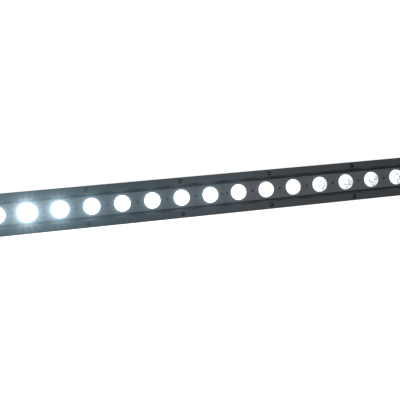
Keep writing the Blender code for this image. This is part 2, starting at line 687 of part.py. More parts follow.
def make_safety_lug(bar, steel):
    """An angle on the rear cover with an eye for a safety cable."""
    tip, base = OUTSIDE + LUG_REACH, OUTSIDE + LUG_SHEET
    outline = [(OUTSIDE, -LUG_HALF_HEIGHT), (base, -LUG_HALF_HEIGHT), (base, -LUG_SHEET), (tip, -LUG_SHEET)]
    outline += [(tip, 0), (base, 0), (base, LUG_HALF_HEIGHT), (OUTSIDE, LUG_HALF_HEIGHT)]
    low, high = LUG_X - LUG_HALF_LENGTH, LUG_X + LUG_HALF_LENGTH
    lug = prism_object("safety_lug", "X", outline, low, high, bar, steel)
    eye = circle(LUG_X, (base + tip) / 2, LUG_EYE_RADIUS, 16)
    cut_holes(lug, "Z", [eye], -LUG_SHEET - MARGIN, MARGIN, "cable_eye")


def make_led_cable(bar, rubber):
    """The feed from the control board through the bay wall to the LED boards."""
    board_edge = CONTROL_BOARD_HIGH[0] + GAP
    route = [(board_edge, 0.0823, 0), (0.082, 0.082, 0), (0.105, 0.078, 0), (0.130, 0.066, 0)]
    route += [(0.147, 0.052, 0), (LED_CABLE_X, 0.042, 0), (LED_CABLE_X, 0.034, 0)]
    tube_object("led_cable", [*route, (LED_CABLE_X, CHANNEL_FLOOR, 0)], LED_CABLE_RADIUS, bar, rubber)


def build():
    clear_scene()
    black_paint = make_material("black_paint", (0.035, 0.037, 0.042), 0.5)
    panel_paint = make_material("panel_paint", (0.045, 0.046, 0.05), 0.6)
    black_plastic = make_material("black_plastic", (0.02, 0.02, 0.022), 0.45)
    rubber = make_material("rubber", (0.02, 0.02, 0.02), 0.8)
    black_steel = make_material("black_steel", (0.03, 0.03, 0.032), 0.35, 0.6)
    zinc_steel = make_material("zinc_steel", (0.62, 0.63, 0.64), 0.3, 1.0)
    aluminium = make_material("aluminium", (0.8, 0.81, 0.82), 0.35, 1.0)
    clear = make_material("clear_plastic", (0.92, 0.96, 1.0), 0.08)
    smoked = make_material("smoked_plastic", (0.03, 0.01, 0.01), 0.1)
    board_green = make_material("circuit_board", (0.02, 0.16, 0.07), 0.5)
    board_white = make_material("led_board", (0.85, 0.86, 0.85), 0.5)

    bar = make_empty("bar", (0, FRONT_Y, AXIS_HEIGHT))
    make_housing(bar, black_paint)
    for name, side in (("upper", 1), ("lower", -1)):
        make_rail(name, side, bar, black_paint)
    make_rail_screws(bar, black_steel)
    make_lenses(bar, clear)
    for name, side in (("left", -1), ("right", 1)):
        make_led_board(name, side, bar, board_white)
        make_lens_panel(name, side, bar, panel_paint)
        make_end(name, side, bar, black_paint, rubber)
        make_friction_disc(name, side, bar, rubber)
        tilt_axis = make_empty(f"{name}_tilt_axis", (0, PIVOT_DEPTH, 0), bar)
        make_bracket(name, side, tilt_axis, black_paint)
        make_knob(name, side, tilt_axis, black_plastic)
    make_rear_cover(bar, black_paint)
    make_sockets(bar, black_plastic, zinc_steel)
    make_display_window(bar, smoked)
    make_control_board(bar, board_green)
    make_buttons(bar, black_plastic)
    make_power_supply(bar, aluminium)
    make_safety_lug(bar, zinc_steel)
    make_led_cable(bar, rubber)


build()
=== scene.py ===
"""The looks of the LED strip batten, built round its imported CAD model.

Pieces are modelled in the bar's own frame: x along the bar, y the depth behind the front rails' faces and
z the height above the bar's axis. All lengths are in metres.
"""

import json
from math import cos, exp, pi, radians, sin, sqrt, tan, tau

import bmesh
import bpy
from mathutils import Matrix, Vector


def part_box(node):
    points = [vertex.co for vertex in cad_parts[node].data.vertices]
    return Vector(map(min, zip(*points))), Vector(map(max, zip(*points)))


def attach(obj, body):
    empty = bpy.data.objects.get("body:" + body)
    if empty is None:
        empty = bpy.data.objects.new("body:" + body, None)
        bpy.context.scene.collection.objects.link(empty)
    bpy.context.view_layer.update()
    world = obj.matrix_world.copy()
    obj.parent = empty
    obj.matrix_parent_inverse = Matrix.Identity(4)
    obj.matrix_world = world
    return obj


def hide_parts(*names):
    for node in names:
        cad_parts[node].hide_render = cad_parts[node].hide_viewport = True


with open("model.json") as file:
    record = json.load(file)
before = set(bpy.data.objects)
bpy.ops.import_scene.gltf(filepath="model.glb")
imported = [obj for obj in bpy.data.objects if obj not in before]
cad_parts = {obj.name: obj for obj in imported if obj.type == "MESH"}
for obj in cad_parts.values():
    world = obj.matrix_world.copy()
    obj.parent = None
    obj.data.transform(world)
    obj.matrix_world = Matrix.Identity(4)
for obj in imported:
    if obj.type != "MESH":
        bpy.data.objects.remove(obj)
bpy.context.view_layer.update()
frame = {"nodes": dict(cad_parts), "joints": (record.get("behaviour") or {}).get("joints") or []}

# Places read from the frame

RAIL_LOW, RAIL_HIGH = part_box("upper_front_rail")
HOUSING_LOW, HOUSING_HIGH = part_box("housing")
BAR = Vector((0, RAIL_LOW.y, (HOUSING_LOW.z + HOUSING_HIGH.z) / 2))
PIVOT = {j["child"]: Vector(j["pos_m"]) for j in frame["joints"] if "pos_m" in j}


def local_box(node):
    """A CAD node's lowest and highest corner, in the bar's frame."""
    low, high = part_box(node)
    return low - BAR, high - BAR


def centre(node):
    """The middle of a CAD node's box, in the bar's frame."""
    low, high = local_box(node)
    return (low + high) / 2


# Sizes that the pieces share with the CAD solids

HALF_FACE = RAIL_HIGH.z - BAR.z
BODY_HALF = (RAIL_HIGH.x - RAIL_LOW.x) / 2
DEPTH = local_box("rear_cover")[1].y
FLANGE_THICKNESS = 0.0022
OUTSIDE = local_box("power_inlet")[1].y - FLANGE_THICKNESS
FACE = OUTSIDE + FLANGE_THICKNESS
AXIS_DEPTH = PIVOT["left_bracket"].y - BAR.y
GAP = 0.0003
LED_PITCH = 0.060
LENSES = 16
LENS_RADIUS = 0.0156
LENS_FLANGE_RADIUS = 0.0172
RAIL_THICKNESS = 0.007
RAIL_INNER_Z = 0.0235
RAIL_CHAMFER = 0.0035
RAIL_SCREWS = 6
RAIL_SCREW_HOLE_RADIUS = 0.0023
COUNTERBORE_RADIUS = 0.0044
COUNTERBORE_DEPTH = 0.0038
PANEL_FRONT = 0.006
PANEL_HALF = 0.020

# How finely round shapes are divided, and how far a cutter reaches past what it cuts

SMOOTH = 48
QUARTER = [pi / 2 * i / 8 for i in range(9)]
MARGIN = 0.001


# Outlines: lists of (u, v) points


def arc(u, v, radius, start, end, steps):
    angles = [radians(start + (end - start) * i / steps) for i in range(steps + 1)]
    return [(u + radius * cos(a), v + radius * sin(a)) for a in angles]


def circle(u, v, radius, sides=SMOOTH):
    return arc(u, v, radius, 0, 360, sides)[:-1]


def rectangle(u_low, u_high, v_low, v_high):
    return [(u_low, v_low), (u_high, v_low), (u_high, v_high), (u_low, v_high)]


def cross(u, v, reach, half):
    arm = [(reach, -half), (reach, half), (half, half)]
    turns = [(1, 0), (0, 1), (-1, 0), (0, -1)]
    return [(u + a * c - b * s, v + a * s + b * c) for c, s in turns for a, b in arm]


def corner_waste(u, v, u_way, v_way, radius):
    """What is cut from a square corner at (u, v) to round it. The ways point out of the plate."""
    inside = [(u + u_way * MARGIN, v + v_way * MARGIN), (u + u_way * MARGIN, v - v_way * radius)]
    curve = [
        (u - u_way * radius * (1 - cos(a)), v - v_way * radius * (1 - sin(a))) for a in QUARTER
    ]
    return [*inside, *curve, (u - u_way * radius, v + v_way * MARGIN)]


def rounded(points, radius, steps=4):
    """The closed outline with its corners rounded. radius is one number, or one for each corner."""
    radii = radius if isinstance(radius, (list, tuple)) else [radius] * len(points)
    outline = []
    for i, (point, r) in enumerate(zip(points, radii, strict=True)):
        corner = Vector(point)
        before = (Vector(points[i - 1]) - corner).normalized()
        after = (Vector(points[(i + 1) % len(points)]) - corner).normalized()
        half = before.angle(after) / 2
        if r == 0:
            outline.append(tuple(corner))
            continue
        middle = corner + (before + after).normalized() * r / sin(half)
        spoke = corner + before * r / tan(half) - middle
        turn = pi - 2 * half
        sign = 1 if before.cross(after) < 0 else -1
        for k in range(steps + 1):
            a = sign * turn * k / steps
            x = spoke.x * cos(a) - spoke.y * sin(a)
            y = spoke.x * sin(a) + spoke.y * cos(a)
            outline.append((middle.x + x, middle.y + y))
    return outline


def round_post(radius, start, tip, edge):
    """The profile of a round post with a chamfered tip, for turned()."""
    return [(0, start), (radius, start), (radius, tip - edge), (radius - edge, tip), (0, tip)]


# Solids, added to a bmesh. AXES places an outline's point (u, v) at w along an axis.

AXES = {
    "X": lambda u, v, w: (w, u, v),
    "Y": lambda u, v, w: (u, w, v),
    "Z": lambda u, v, w: (u, v, w),
}


def join_rings(bm, lower, upper):
    """Faces between two rings of vertices. A ring of one vertex is a tip."""
    count = max(len(lower), len(upper))
    for i in range(count):
        j = (i + 1) % count
        corners = [lower[i % len(lower)], lower[j % len(lower)], upper[j % len(upper)], upper[i % len(upper)]]
        bm.faces.new(dict.fromkeys(corners))


def loft(bm, axis, sections, caps=True):
    """A solid through sections, each (position along the axis, outline) with the same number of points."""
    place = AXES[axis]
    rings = [[bm.verts.new(place(u, v, w)) for u, v in outline] for w, outline in sections]
    if caps:
        bm.faces.new(rings[0])
        bm.faces.new(rings[-1])
    for lower, upper in zip(rings, rings[1:], strict=False):
        join_rings(bm, lower, upper)


def prism(bm, axis, outline, start, end):
    loft(bm, axis, [(start, outline), (end, outline)])


def turned(bm, axis, middle, profile, sides=SMOOTH, closed=False):
    """A solid of revolution about the line along the axis through middle, from (radius, position) points."""
    place = AXES[axis]
    rings = []
    for radius, w in profile:
        points = circle(*middle, radius, sides) if radius else [middle]
        rings.append([bm.verts.new(place(u, v, w)) for u, v in points])
    following = rings[1:] + rings[:1] if closed else rings[1:]
    for lower, upper in zip(rings, following, strict=False):
        join_rings(bm, lower, upper)


def plate(bm, axis, box, radius, start, end, edge):
    """A rectangular plate with rounded corners, whose edge is rounded at its end side."""
    u_low, u_high, v_low, v_high = box
    way = 1 if end > start else -1
    sections = [(start, 0)]
    for a in QUARTER[::2]:
        sections.append((end - way * edge * (1 - sin(a)), edge * (1 - cos(a))))
    rings = []
    for w, inset in sections:
        corners = rectangle(u_low + inset, u_high - inset, v_low + inset, v_high - inset)
        rings.append((w, rounded(corners, radius - inset, 6)))
    loft(bm, axis, rings)


def solid(add, *shape, **settings):
    """A new bmesh with the one solid that add makes."""
    bm = bmesh.new()
    add(bm, *shape, **settings)
    return bm


# Pieces


def link(obj):
    bpy.context.scene.collection.objects.link(obj)
    return obj


def mesh_object(name, bm, place=BAR):
    bmesh.ops.recalc_face_normals(bm, faces=bm.faces)
    mesh = bpy.data.meshes.new(name)
    bm.to_mesh(mesh)
    bm.free()
    obj = link(bpy.data.objects.new(name, mesh))
    obj.location = place
    return obj


def combine(obj, bm, operation="DIFFERENCE"):
    """Cuts obj with the solids in bm, or joins them to it, for good."""
    tool = mesh_object(obj.name + "_tool", bm, obj.location)
    modifier = obj.modifiers.new("combine", "BOOLEAN")
    modifier.operation = operation
    modifier.object = tool
    apply_modifiers(obj)
    bpy.data.objects.remove(tool)


def apply_modifiers(obj):
    bpy.context.view_layer.update()
    evaluated = obj.evaluated_get(bpy.context.evaluated_depsgraph_get())
    mesh = bpy.data.meshes.new_from_object(evaluated)
    obj.modifiers.clear()
    obj.data = mesh


def bevel(obj, width, segments=2, angle=40):
    """Rounds the sharp edges."""
    modifier = obj.modifiers.new("bevel", "BEVEL")
    modifier.width = width
    modifier.segments = segments
    modifier.limit_method = "ANGLE"
    modifier.angle_limit = radians(angle)
    modifier.use_clamp_overlap = True
    apply_modifiers(obj)


def piece(obj, material, replaces=(), body="bar", angle=32):
    """Shades and finishes a modelled piece, hangs it on the body it rides on and hides the CAD nodes it
    stands for.
    """
    obj.data.shade_smooth()
    obj.data.set_sharp_from_angle(angle=radians(angle))
    obj.modifiers.new("flat_faces", "WEIGHTED_NORMAL").keep_sharp = True
    apply_modifiers(obj)
    obj.data.materials.clear()
    obj.data.materials.append(material)
    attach(obj, body)
    if replaces:
        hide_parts(*replaces)


# Materials


def node(tree, kind, inputs=None, **settings):
    """A new node. inputs maps socket names or numbers to values or to the sockets that feed them."""
    made = tree.nodes.new(tree.bl_idname.removesuffix("Tree") + kind)
    for key, value in settings.items():
        setattr(made, key, value)
    for key, value in (inputs or {}).items():
        if isinstance(value, bpy.types.NodeSocket):
            tree.links.new(value, made.inputs[key])
        else:
            made.inputs[key].default_value = value
    return made


def new_material(name, roughness, metallic=0.0, specular=0.5):
    material = bpy.data.materials.new(name)
    material.use_nodes = True
    tree = material.node_tree
    shader = tree.nodes["Principled BSDF"]
    shader.inputs["Roughness"].default_value = roughness
    shader.inputs["Metallic"].default_value = metallic
    shader.inputs["Specular IOR Level"].default_value = specular
    return material, tree, shader


def connect(tree, source, target):
    tree.links.new(source, target)


def coordinates(tree, scale=(1, 1, 1)):
    """The piece's own coordinates in metres, stretched by scale."""
    place = node(tree, "TexCoord")
    return node(tree, "Mapping", {"Vector": place.outputs["Object"], "Scale": scale}).outputs[0]


def noise(tree, scale, detail, vector=None):
    """Noise in the given coordinates, or in the piece's own."""
    vector = coordinates(tree) if vector is None else vector
    inputs = {"Vector": vector, "Scale": scale, "Detail": detail, "Roughness": 0.55}
    return node(tree, "TexNoise", inputs).outputs["Fac"]


def remap(tree, value, low, high, from_low=0.3, from_high=0.7):
    """The value, spread from (from_low, from_high) to (low, high)."""
    inputs = {"Value": value, "From Min": from_low, "From Max": from_high, "To Min": low, "To Max": high}
    return node(tree, "MapRange", inputs).outputs[0]


def math_node(tree, operation, a, b=0.0):
    return node(tree, "Math", {0: a, 1: b}, operation=operation).outputs[0]


def mix_colours(tree, factor, first, second):
    return node(
        tree, "Mix", {"Factor": factor, 6: first, 7: second}, data_type="RGBA"
    ).outputs[2]


def tinted(value, tint=(1.0, 1.0, 1.0)):
    return (*(value * t for t in tint), 1.0)


def product(tree, first, *others):
    for other in others:
        first = math_node(tree, "MULTIPLY", first, other)
    return first


def two_noises(tree, first, second, share=0.5):
    """0 to 1, from a fine and a coarse noise."""
    return math_node(tree, "ADD", remap(tree, first, 0, share), remap(tree, second, 0, 1 - share))


def finish(material, colour, roughness, height, strength, distance=0.0001):
    """Connects the changing colour and roughness, and a bump of the given height."""
    tree = material.node_tree
    shader = tree.nodes["Principled BSDF"]
    connect(tree, colour, shader.inputs["Base Color"])
    connect(tree, roughness, shader.inputs["Roughness"])
    bump = node(tree, "Bump", {"Strength": strength, "Distance": distance, "Height": height})
    connect(tree, bump.outputs[0], shader.inputs["Normal"])
    return material


BLUISH = (0.88, 1.0, 1.15)
COOL = (0.93, 1.0, 1.15)
# Lighter tone for sharp edges: partly worn metal, partly a painted edge highlight.
WORN_AND_HIGHLIGHT_TONE = tinted(0.22, BLUISH)
WORN_AND_HIGHLIGHT_WIDTH = 0.0005


def edge_mask(tree, radius):
    """1 along sharp edges, 0 elsewhere."""
    rounded_normal = node(tree, "Bevel", {"Radius": radius}, samples=4).outputs[0]
    true_normal = node(tree, "NewGeometry").outputs["Normal"]
    dot = node(
        tree, "VectorMath", {0: rounded_normal, 1: true_normal}, operation="DOT_PRODUCT"
    ).outputs["Value"]
    return remap(tree, dot, 1.0, 0.0, 0.86, 0.995)


def anodised(name, value, roughness, wear=0.5, specular=0.5):
    """Black anodised extrusion: a fine grain along the bar, faint clouding, and thin lighter edges, partly
    wear and partly a painted highlight.
    """
    material, tree, _ = new_material(name, roughness, specular=specular)
    grain = noise(tree, 1.0, 4, coordinates(tree, (12, 700, 700)))
    clouds = noise(tree, 14, 3)
    tone = two_noises(tree, grain, clouds, 0.55)
    colour = mix_colours(tree, tone, tinted(value * 0.82, BLUISH), tinted(value * 1.2, BLUISH))
    # Painted highlight and wear: the sharp edges are lightened, broken up by noise.
    scuffs_and_glints = remap(tree, noise(tree, 160, 2), 0, wear, 0.45, 0.75)
    worn_and_highlight = product(tree, edge_mask(tree, WORN_AND_HIGHLIGHT_WIDTH), scuffs_and_glints)
    colour = mix_colours(tree, worn_and_highlight, colour, WORN_AND_HIGHLIGHT_TONE)
    fine, coarse = remap(tree, grain, -0.05, 0.06), remap(tree, clouds, -0.05, 0.05)
    change = math_node(tree, "ADD", fine, coarse)
    return finish(material, colour, math_node(tree, "ADD", change, roughness), grain, 0.12)


def powder_coat(name, value, roughness=0.55, grain_scale=1100, strength=0.35, tint=BLUISH):
    """Powder coat: a fine leathery texture and small changes of tone."""
    material, tree, _ = new_material(name, roughness)
    grain = noise(tree, grain_scale, 2)
    clouds = noise(tree, 22, 3)
    tone = two_noises(tree, grain, clouds)
    colour = mix_colours(tree, tone, tinted(value * 0.85, tint), tinted(value * 1.17, tint))
    changing = remap(tree, clouds, roughness - 0.06, roughness + 0.07)
    return finish(material, colour, changing, grain, strength, 0.0002)


def metal(name, colour, roughness, stretch=(1, 1, 1), mottling=0.12):
    """Plated or oxidised steel and bare aluminium: brushed or mottled by the stretch of its noise."""
    material, tree, _ = new_material(name, roughness, metallic=1.0)
    brushing = noise(tree, 500, 3, coordinates(tree, stretch))
    clouds = noise(tree, 90, 3)
    tone = two_noises(tree, brushing, clouds)
    mottled = mix_colours(tree, tone, tinted(1 - mottling, colour), tinted(1 + mottling, colour))
    changing = remap(tree, tone, roughness - 0.08, roughness + 0.1, 0.2, 0.8)
    return finish(material, mottled, changing, brushing, 0.08)


def plastic(name, colour, roughness, grain_scale=1500, strength=0.25):
    """Moulded plastic or rubber with a fine spark-eroded grain."""
    material, tree, _ = new_material(name, roughness)
    grain = noise(tree, grain_scale, 2)
    clouds = noise(tree, 60, 3)
    tone = remap(tree, clouds, 0, 1)
    mottled = mix_colours(tree, tone, tinted(0.8, colour), tinted(1.25, colour))
    changing = remap(tree, grain, roughness - 0.06, roughness + 0.06)
    return finish(material, mottled, changing, grain, strength)


def circuit_board(name, mask, copper):
    """Solder mask over a grid of tracks, with pads."""
    material, tree, shader = new_material(name, 0.4)
    tracks = node(
        tree,
        "TexBrick",
        {"Vector": coordinates(tree), "Scale": 260.0, "Mortar Size": 0.06, "Row Height": 0.3},
    ).outputs["Fac"]
    blotches = noise(tree, 300, 2)
    raised = product(tree, tracks, remap(tree, blotches, 0, 1, 0.4, 0.55))
    connect(tree, mix_colours(tree, raised, mask, copper), shader.inputs["Base Color"])
    connect(tree, remap(tree, blotches, 0.3, 0.5), shader.inputs["Roughness"])
    return material


def window(tree, value, low, high, fade):
    """1 between low and high, fading to 0 outside."""
    rise = remap(tree, value, 0, 1, low - fade, low)
    fall = remap(tree, value, 1, 0, high, high + fade)
    return product(tree, rise, fall)


def lens_material(number, strength, contrast, lead, core_gain):
    """A lit collimating lens: a bright core, a ring of dots round it, and moulded facets towards the rim. Its
    glow is painted brighter towards its left side, and its facets and specks are painted as shade weighted to
    its right and lower side.
    """
    material, tree, shader = new_material(f"lit_lens_{number:02}", 0.12)
    place = node(tree, "TexCoord").outputs["Object"]
    split = node(tree, "SeparateXYZ", {0: place})
    x, z = split.outputs["X"], split.outputs["Z"]
    flat = node(tree, "CombineXYZ", {"X": x, "Y": number * 0.013, "Z": z}).outputs[0]
    plane = node(tree, "CombineXYZ", {"X": x, "Z": z}).outputs[0]
    radius = node(tree, "VectorMath", {0: plane}, operation="LENGTH").outputs["Value"]
    share = math_node(tree, "DIVIDE", radius, LENS_RADIUS)
    # Painted shade: the facets and specks are weighted towards the lens's right and lower side.
    painted_shade_lean = math_node(tree, "SUBTRACT", x, product(tree, z, 0.7))
    side = remap(tree, painted_shade_lean, 0.12, 1, -0.003, 0.010)

    dots = noise(tree, 300, 1, flat)
    ring = window(tree, share, 0.34, 0.46, 0.06)
    ring = product(tree, ring, remap(tree, dots, 0, 0.75, 0.44, 0.6))
    cells = node(tree, "TexVoronoi", {"Vector": flat, "Scale": 420.0}).outputs["Color"]
    facets = window(tree, share, 0.5, 0.9, 0.06)
    facets = product(tree, facets, side, remap(tree, cells, 0, 0.62, 0.3, 0.75))
    specks = remap(tree, noise(tree, 620, 1, flat), 0, 0.9, 0.56, 0.66)
    specks = product(tree, specks, side, remap(tree, share, 0, 1, 0.35, 0.6))
    shade = math_node(tree, "MAXIMUM", ring, math_node(tree, "MAXIMUM", facets, specks))
    lost = product(tree, shade, contrast)
    # Painted light: the glow grows towards the lens's left side.
    across = remap(tree, x, 1.0 + lead, 1.0, -0.013, 0.004)
    core = remap(tree, share, 1.0 + core_gain, 1.0, 0.05, 0.11)
    glow = product(tree, math_node(tree, "SUBTRACT", 1.0, lost), strength, across, core)
    tint = math_node(tree, "ADD", lost, remap(tree, share, 0, 0.25, 0.5, 1.0))
    colour = mix_colours(tree, tint, (0.98, 0.99, 1.0, 1), (0.8, 0.9, 1.0, 1))
    shader.inputs["Base Color"].default_value = (0.08, 0.09, 0.1, 1)
    connect(tree, colour, shader.inputs["Emission Color"])
    connect(tree, glow, shader.inputs["Emission Strength"])
    return material


def lit_digits(name):
    """Display segments, a little uneven in brightness."""
    material, tree, shader = new_material(name, 0.4)
    shader.inputs["Base Color"].default_value = (0.4, 0.02, 0.01, 1)
    shader.inputs["Emission Color"].default_value = (1.0, 0.08, 0.03, 1)
    uneven = noise(tree, 900, 2)
    connect(tree, remap(tree, uneven, 0.9, 1.5), shader.inputs["Emission Strength"])
    return material


housing_finish = anodised("housing_finish", 0.034, 0.5)
rail_finish = anodised("rail_finish", 0.045, 0.5, 0.1, 0.35)
panel_finish = powder_coat("panel_finish", 0.084, tint=COOL)
cover_finish = powder_coat("cover_finish", 0.03)
bracket_finish = powder_coat("bracket_finish", 0.028, 0.5, 900)
screw_finish = metal("screw_finish", (0.07, 0.071, 0.075), 0.22)
rail_screw_finish = metal("rail_screw_finish", (0.05, 0.052, 0.054), 0.15)
panel_screw_finish = plastic("panel_screw_finish", (0.01, 0.01, 0.011), 0.6)
zinc_finish = metal("zinc_finish", (0.6, 0.61, 0.6), 0.3, (0.3, 1, 1))
nickel_finish = metal("nickel_finish", (0.55, 0.54, 0.51), 0.28)
mill_finish = metal("mill_finish", (0.72, 0.73, 0.74), 0.38, (0.04, 1, 1))
contact_finish = metal("contact_finish", (0.75, 0.6, 0.32), 0.25)
cap_finish = powder_coat("cap_finish", 0.035, 0.5, 1500, 0.2)
inlet_ring_finish = plastic("inlet_ring_finish", (0.05, 0.12, 0.3), 0.4)
outlet_ring_finish = plastic("outlet_ring_finish", (0.42, 0.43, 0.44), 0.4)
display_finish = plastic("display_finish", (0.02, 0.006, 0.006), 0.08, 400, 0.02)
knob_finish = plastic("knob_finish", (0.018, 0.018, 0.02), 0.5, 1300, 0.4)
socket_finish = plastic("socket_finish", (0.02, 0.021, 0.024), 0.42)
button_finish = plastic("button_finish", (0.03, 0.03, 0.033), 0.5)
mark_finish = plastic("mark_finish", (0.6, 0.6, 0.6), 0.5)
digit_finish = lit_digits("digit_finish")
rubber_finish = plastic("rubber_finish", (0.015, 0.015, 0.015), 0.75, 900, 0.5)
friction_finish = plastic("friction_finish", (0.06, 0.055, 0.05), 0.8, 700, 0.8)
board_finish = circuit_board("board_finish", (0.015, 0.12, 0.05, 1), (0.05, 0.25, 0.1, 1))
white_board_finish = circuit_board("white_board_finish", (0.8, 0.81, 0.8, 1), (0.6, 0.61, 0.58, 1))


# Front: rails, screws, lens panels and lenses


def rail_screw_places():
    return [centre(f"upper_rail_screw_{number}").x for number in range(1, RAIL_SCREWS + 1)]


def make_rail(name, side):
    """A front rail with a rounded outer edge, an inner chamfer and six chamfered counterbores."""
    corners = [(RAIL_THICKNESS, HALF_FACE), (0, HALF_FACE), (0, RAIL_INNER_Z + RAIL_CHAMFER)]
    corners += [(RAIL_CHAMFER, RAIL_INNER_Z), (RAIL_THICKNESS, RAIL_INNER_Z)]
    outline = rounded(corners, [0.0003, 0.0010, 0.0004, 0.0003, 0.0003], 5)
    outline = [(u, side * v) for u, v in outline]
    rail = mesh_object(f"{name}_rail", solid(prism, "X", outline, -BODY_HALF, BODY_HALF))
    bm = bmesh.new()
    z = centre(f"{name}_rail_screw_1").z
    hole = [(0, -MARGIN), (COUNTERBORE_RADIUS + 0.0013, -MARGIN), (COUNTERBORE_RADIUS, 0.0003)]
    hole += [(COUNTERBORE_RADIUS, COUNTERBORE_DEPTH), (RAIL_SCREW_HOLE_RADIUS, COUNTERBORE_DEPTH)]
    hole += [(RAIL_SCREW_HOLE_RADIUS, RAIL_THICKNESS + MARGIN), (0, RAIL_THICKNESS + MARGIN)]
    for x in rail_screw_places():
        turned(bm, "Y", (x, z), hole)
    combine(rail, bm)
    piece(rail, rail_finish, [f"{name}_front_rail"])


def make_rail_screw(name):
    """A button head socket screw."""
    middle = centre(name)
    low, high = local_box(name)
    top, under = low.y, low.y + 0.002
    socket, crown, shank = 0.0009, 0.0018, 0.002
    profile = [(0, top), (socket, top)]
    profile += [(socket + crown * sin(a), top + 0.0016 * (1 - cos(a))) for a in QUARTER[1:]]
    profile += [(socket + crown, under), (shank, under), (shank, high.y - 0.0004)]
    profile += [(shank - 0.0004, high.y), (0, high.y)]
    screw = mesh_object(name + "_detail", solid(turned, "Y", (middle.x, middle.z), profile, 32))
    combine(screw, solid(prism, "Y", circle(middle.x, middle.z, socket, 6), top - MARGIN, top + 0.0008))
    piece(screw, rail_screw_finish, [name])


def make_counterbore_shade_liners(name):
    """Black liners in the rail's counterbores: painted shade, a dark sheet that darkens the ring round each
    screw head.
    """
    low, high = 0.0002, COUNTERBORE_DEPTH - 0.0001
    outer, inner, mouth, wall = COUNTERBORE_RADIUS - 0.0001, 0.0039, 0.0029, 0.0003
    z = centre(f"{name}_rail_screw_1").z
    shade_liner = [(inner, low), (outer, low), (outer, high)]
    shade_liner += [(mouth, high), (mouth, high - wall), (inner, high - wall)]
    bm = bmesh.new()
    # Painted shade: a black ring in each counterbore, round the screw head.
    for x in rail_screw_places():
        turned(bm, "Y", (x, z), shade_liner, 32, closed=True)
    piece(mesh_object(f"{name}_screw_cups", bm), rubber_finish)


def led_places():
    return [centre(f"lens_{number:02}").x for number in range(1, LENSES + 1)]


def make_lens_panel(name, places, screw_places):
    """A folded panel with a round hole for each lens, turned edges and holes for its screws."""
    low, high = local_box(f"{name}_lens_panel")
    front, back, sheet = low.y, high.y, 0.0015
    inner = PANEL_HALF - sheet
    corners = [(back, PANEL_HALF), (front, PANEL_HALF), (front, -PANEL_HALF), (back, -PANEL_HALF)]
    corners += [(back, -inner), (front + sheet, -inner), (front + sheet, inner), (back, inner)]
    outline = rounded(corners, [0.0002, 0.0008, 0.0008, 0.0002, 0.0002, 0.0003, 0.0003, 0.0002])
    panel = mesh_object(f"{name}_panel", solid(prism, "X", outline, low.x, high.x))
    bm = bmesh.new()
    radius, beyond = LENS_RADIUS + GAP, front + 0.003
    hole = [(0, front - MARGIN), (radius + 0.0013, front - MARGIN), (radius, front + 0.0003)]
    for x in places:
        turned(bm, "Y", (x, 0), [*hole, (radius, beyond), (0, beyond)], 72)
    sink = [(0, front - MARGIN), (0.0038, front - MARGIN), (0.0025, front + 0.0003), (0.0016, front + 0.0011)]
    for x in screw_places:
        turned(bm, "Y", (x, 0), [*sink, (0.0016, beyond), (0, beyond)], 24)
    combine(panel, bm)
    piece(panel, panel_finish, [f"{name}_lens_panel"])


def panel_screw_places(places, side):
    """Between neighbouring lenses, and beside the panel's two ends."""
    inset = 0.0057
    ends = [side * inset, side * (len(places) * LED_PITCH - inset)]
    return [(a + b) / 2 for a, b in zip(places, places[1:], strict=False)] + ends


def make_panel_screws(name, places):
    """Countersunk screws with a cross recess, just below the panel's face."""
    bm = bmesh.new()
    top, end, shank = PANEL_FRONT + 0.0002, PANEL_FRONT + 0.007, 0.0014
    head = [(0, top), (0.0019, top), (0.0023, top + 0.0002), (shank, top + 0.0010), (shank, end), (0, end)]
    for x in places:
        turned(bm, "Y", (x, 0), head, 24)
    screws = mesh_object(f"{name}_panel_screws", bm)
    bm = bmesh.new()
    for x in places:
        prism(bm, "Y", cross(x, 0, 0.0013, 0.0003), PANEL_FRONT - MARGIN, PANEL_FRONT + 0.0010)
    combine(screws, bm)
    piece(screws, panel_screw_finish)


# The lenses' glow is painted brighter towards the bar's left end, lens 1 most, and from FIRST_DIM_LENS on all
# alike: painted light for narrow beams seen more nearly head-on at that end.

NEAR_REACH = 2.7
NEAR_STRENGTH = 2.85
CORE_GAIN = 6
FIRST_DIM_LENS = 12
DIM_STRENGTH = 1.15


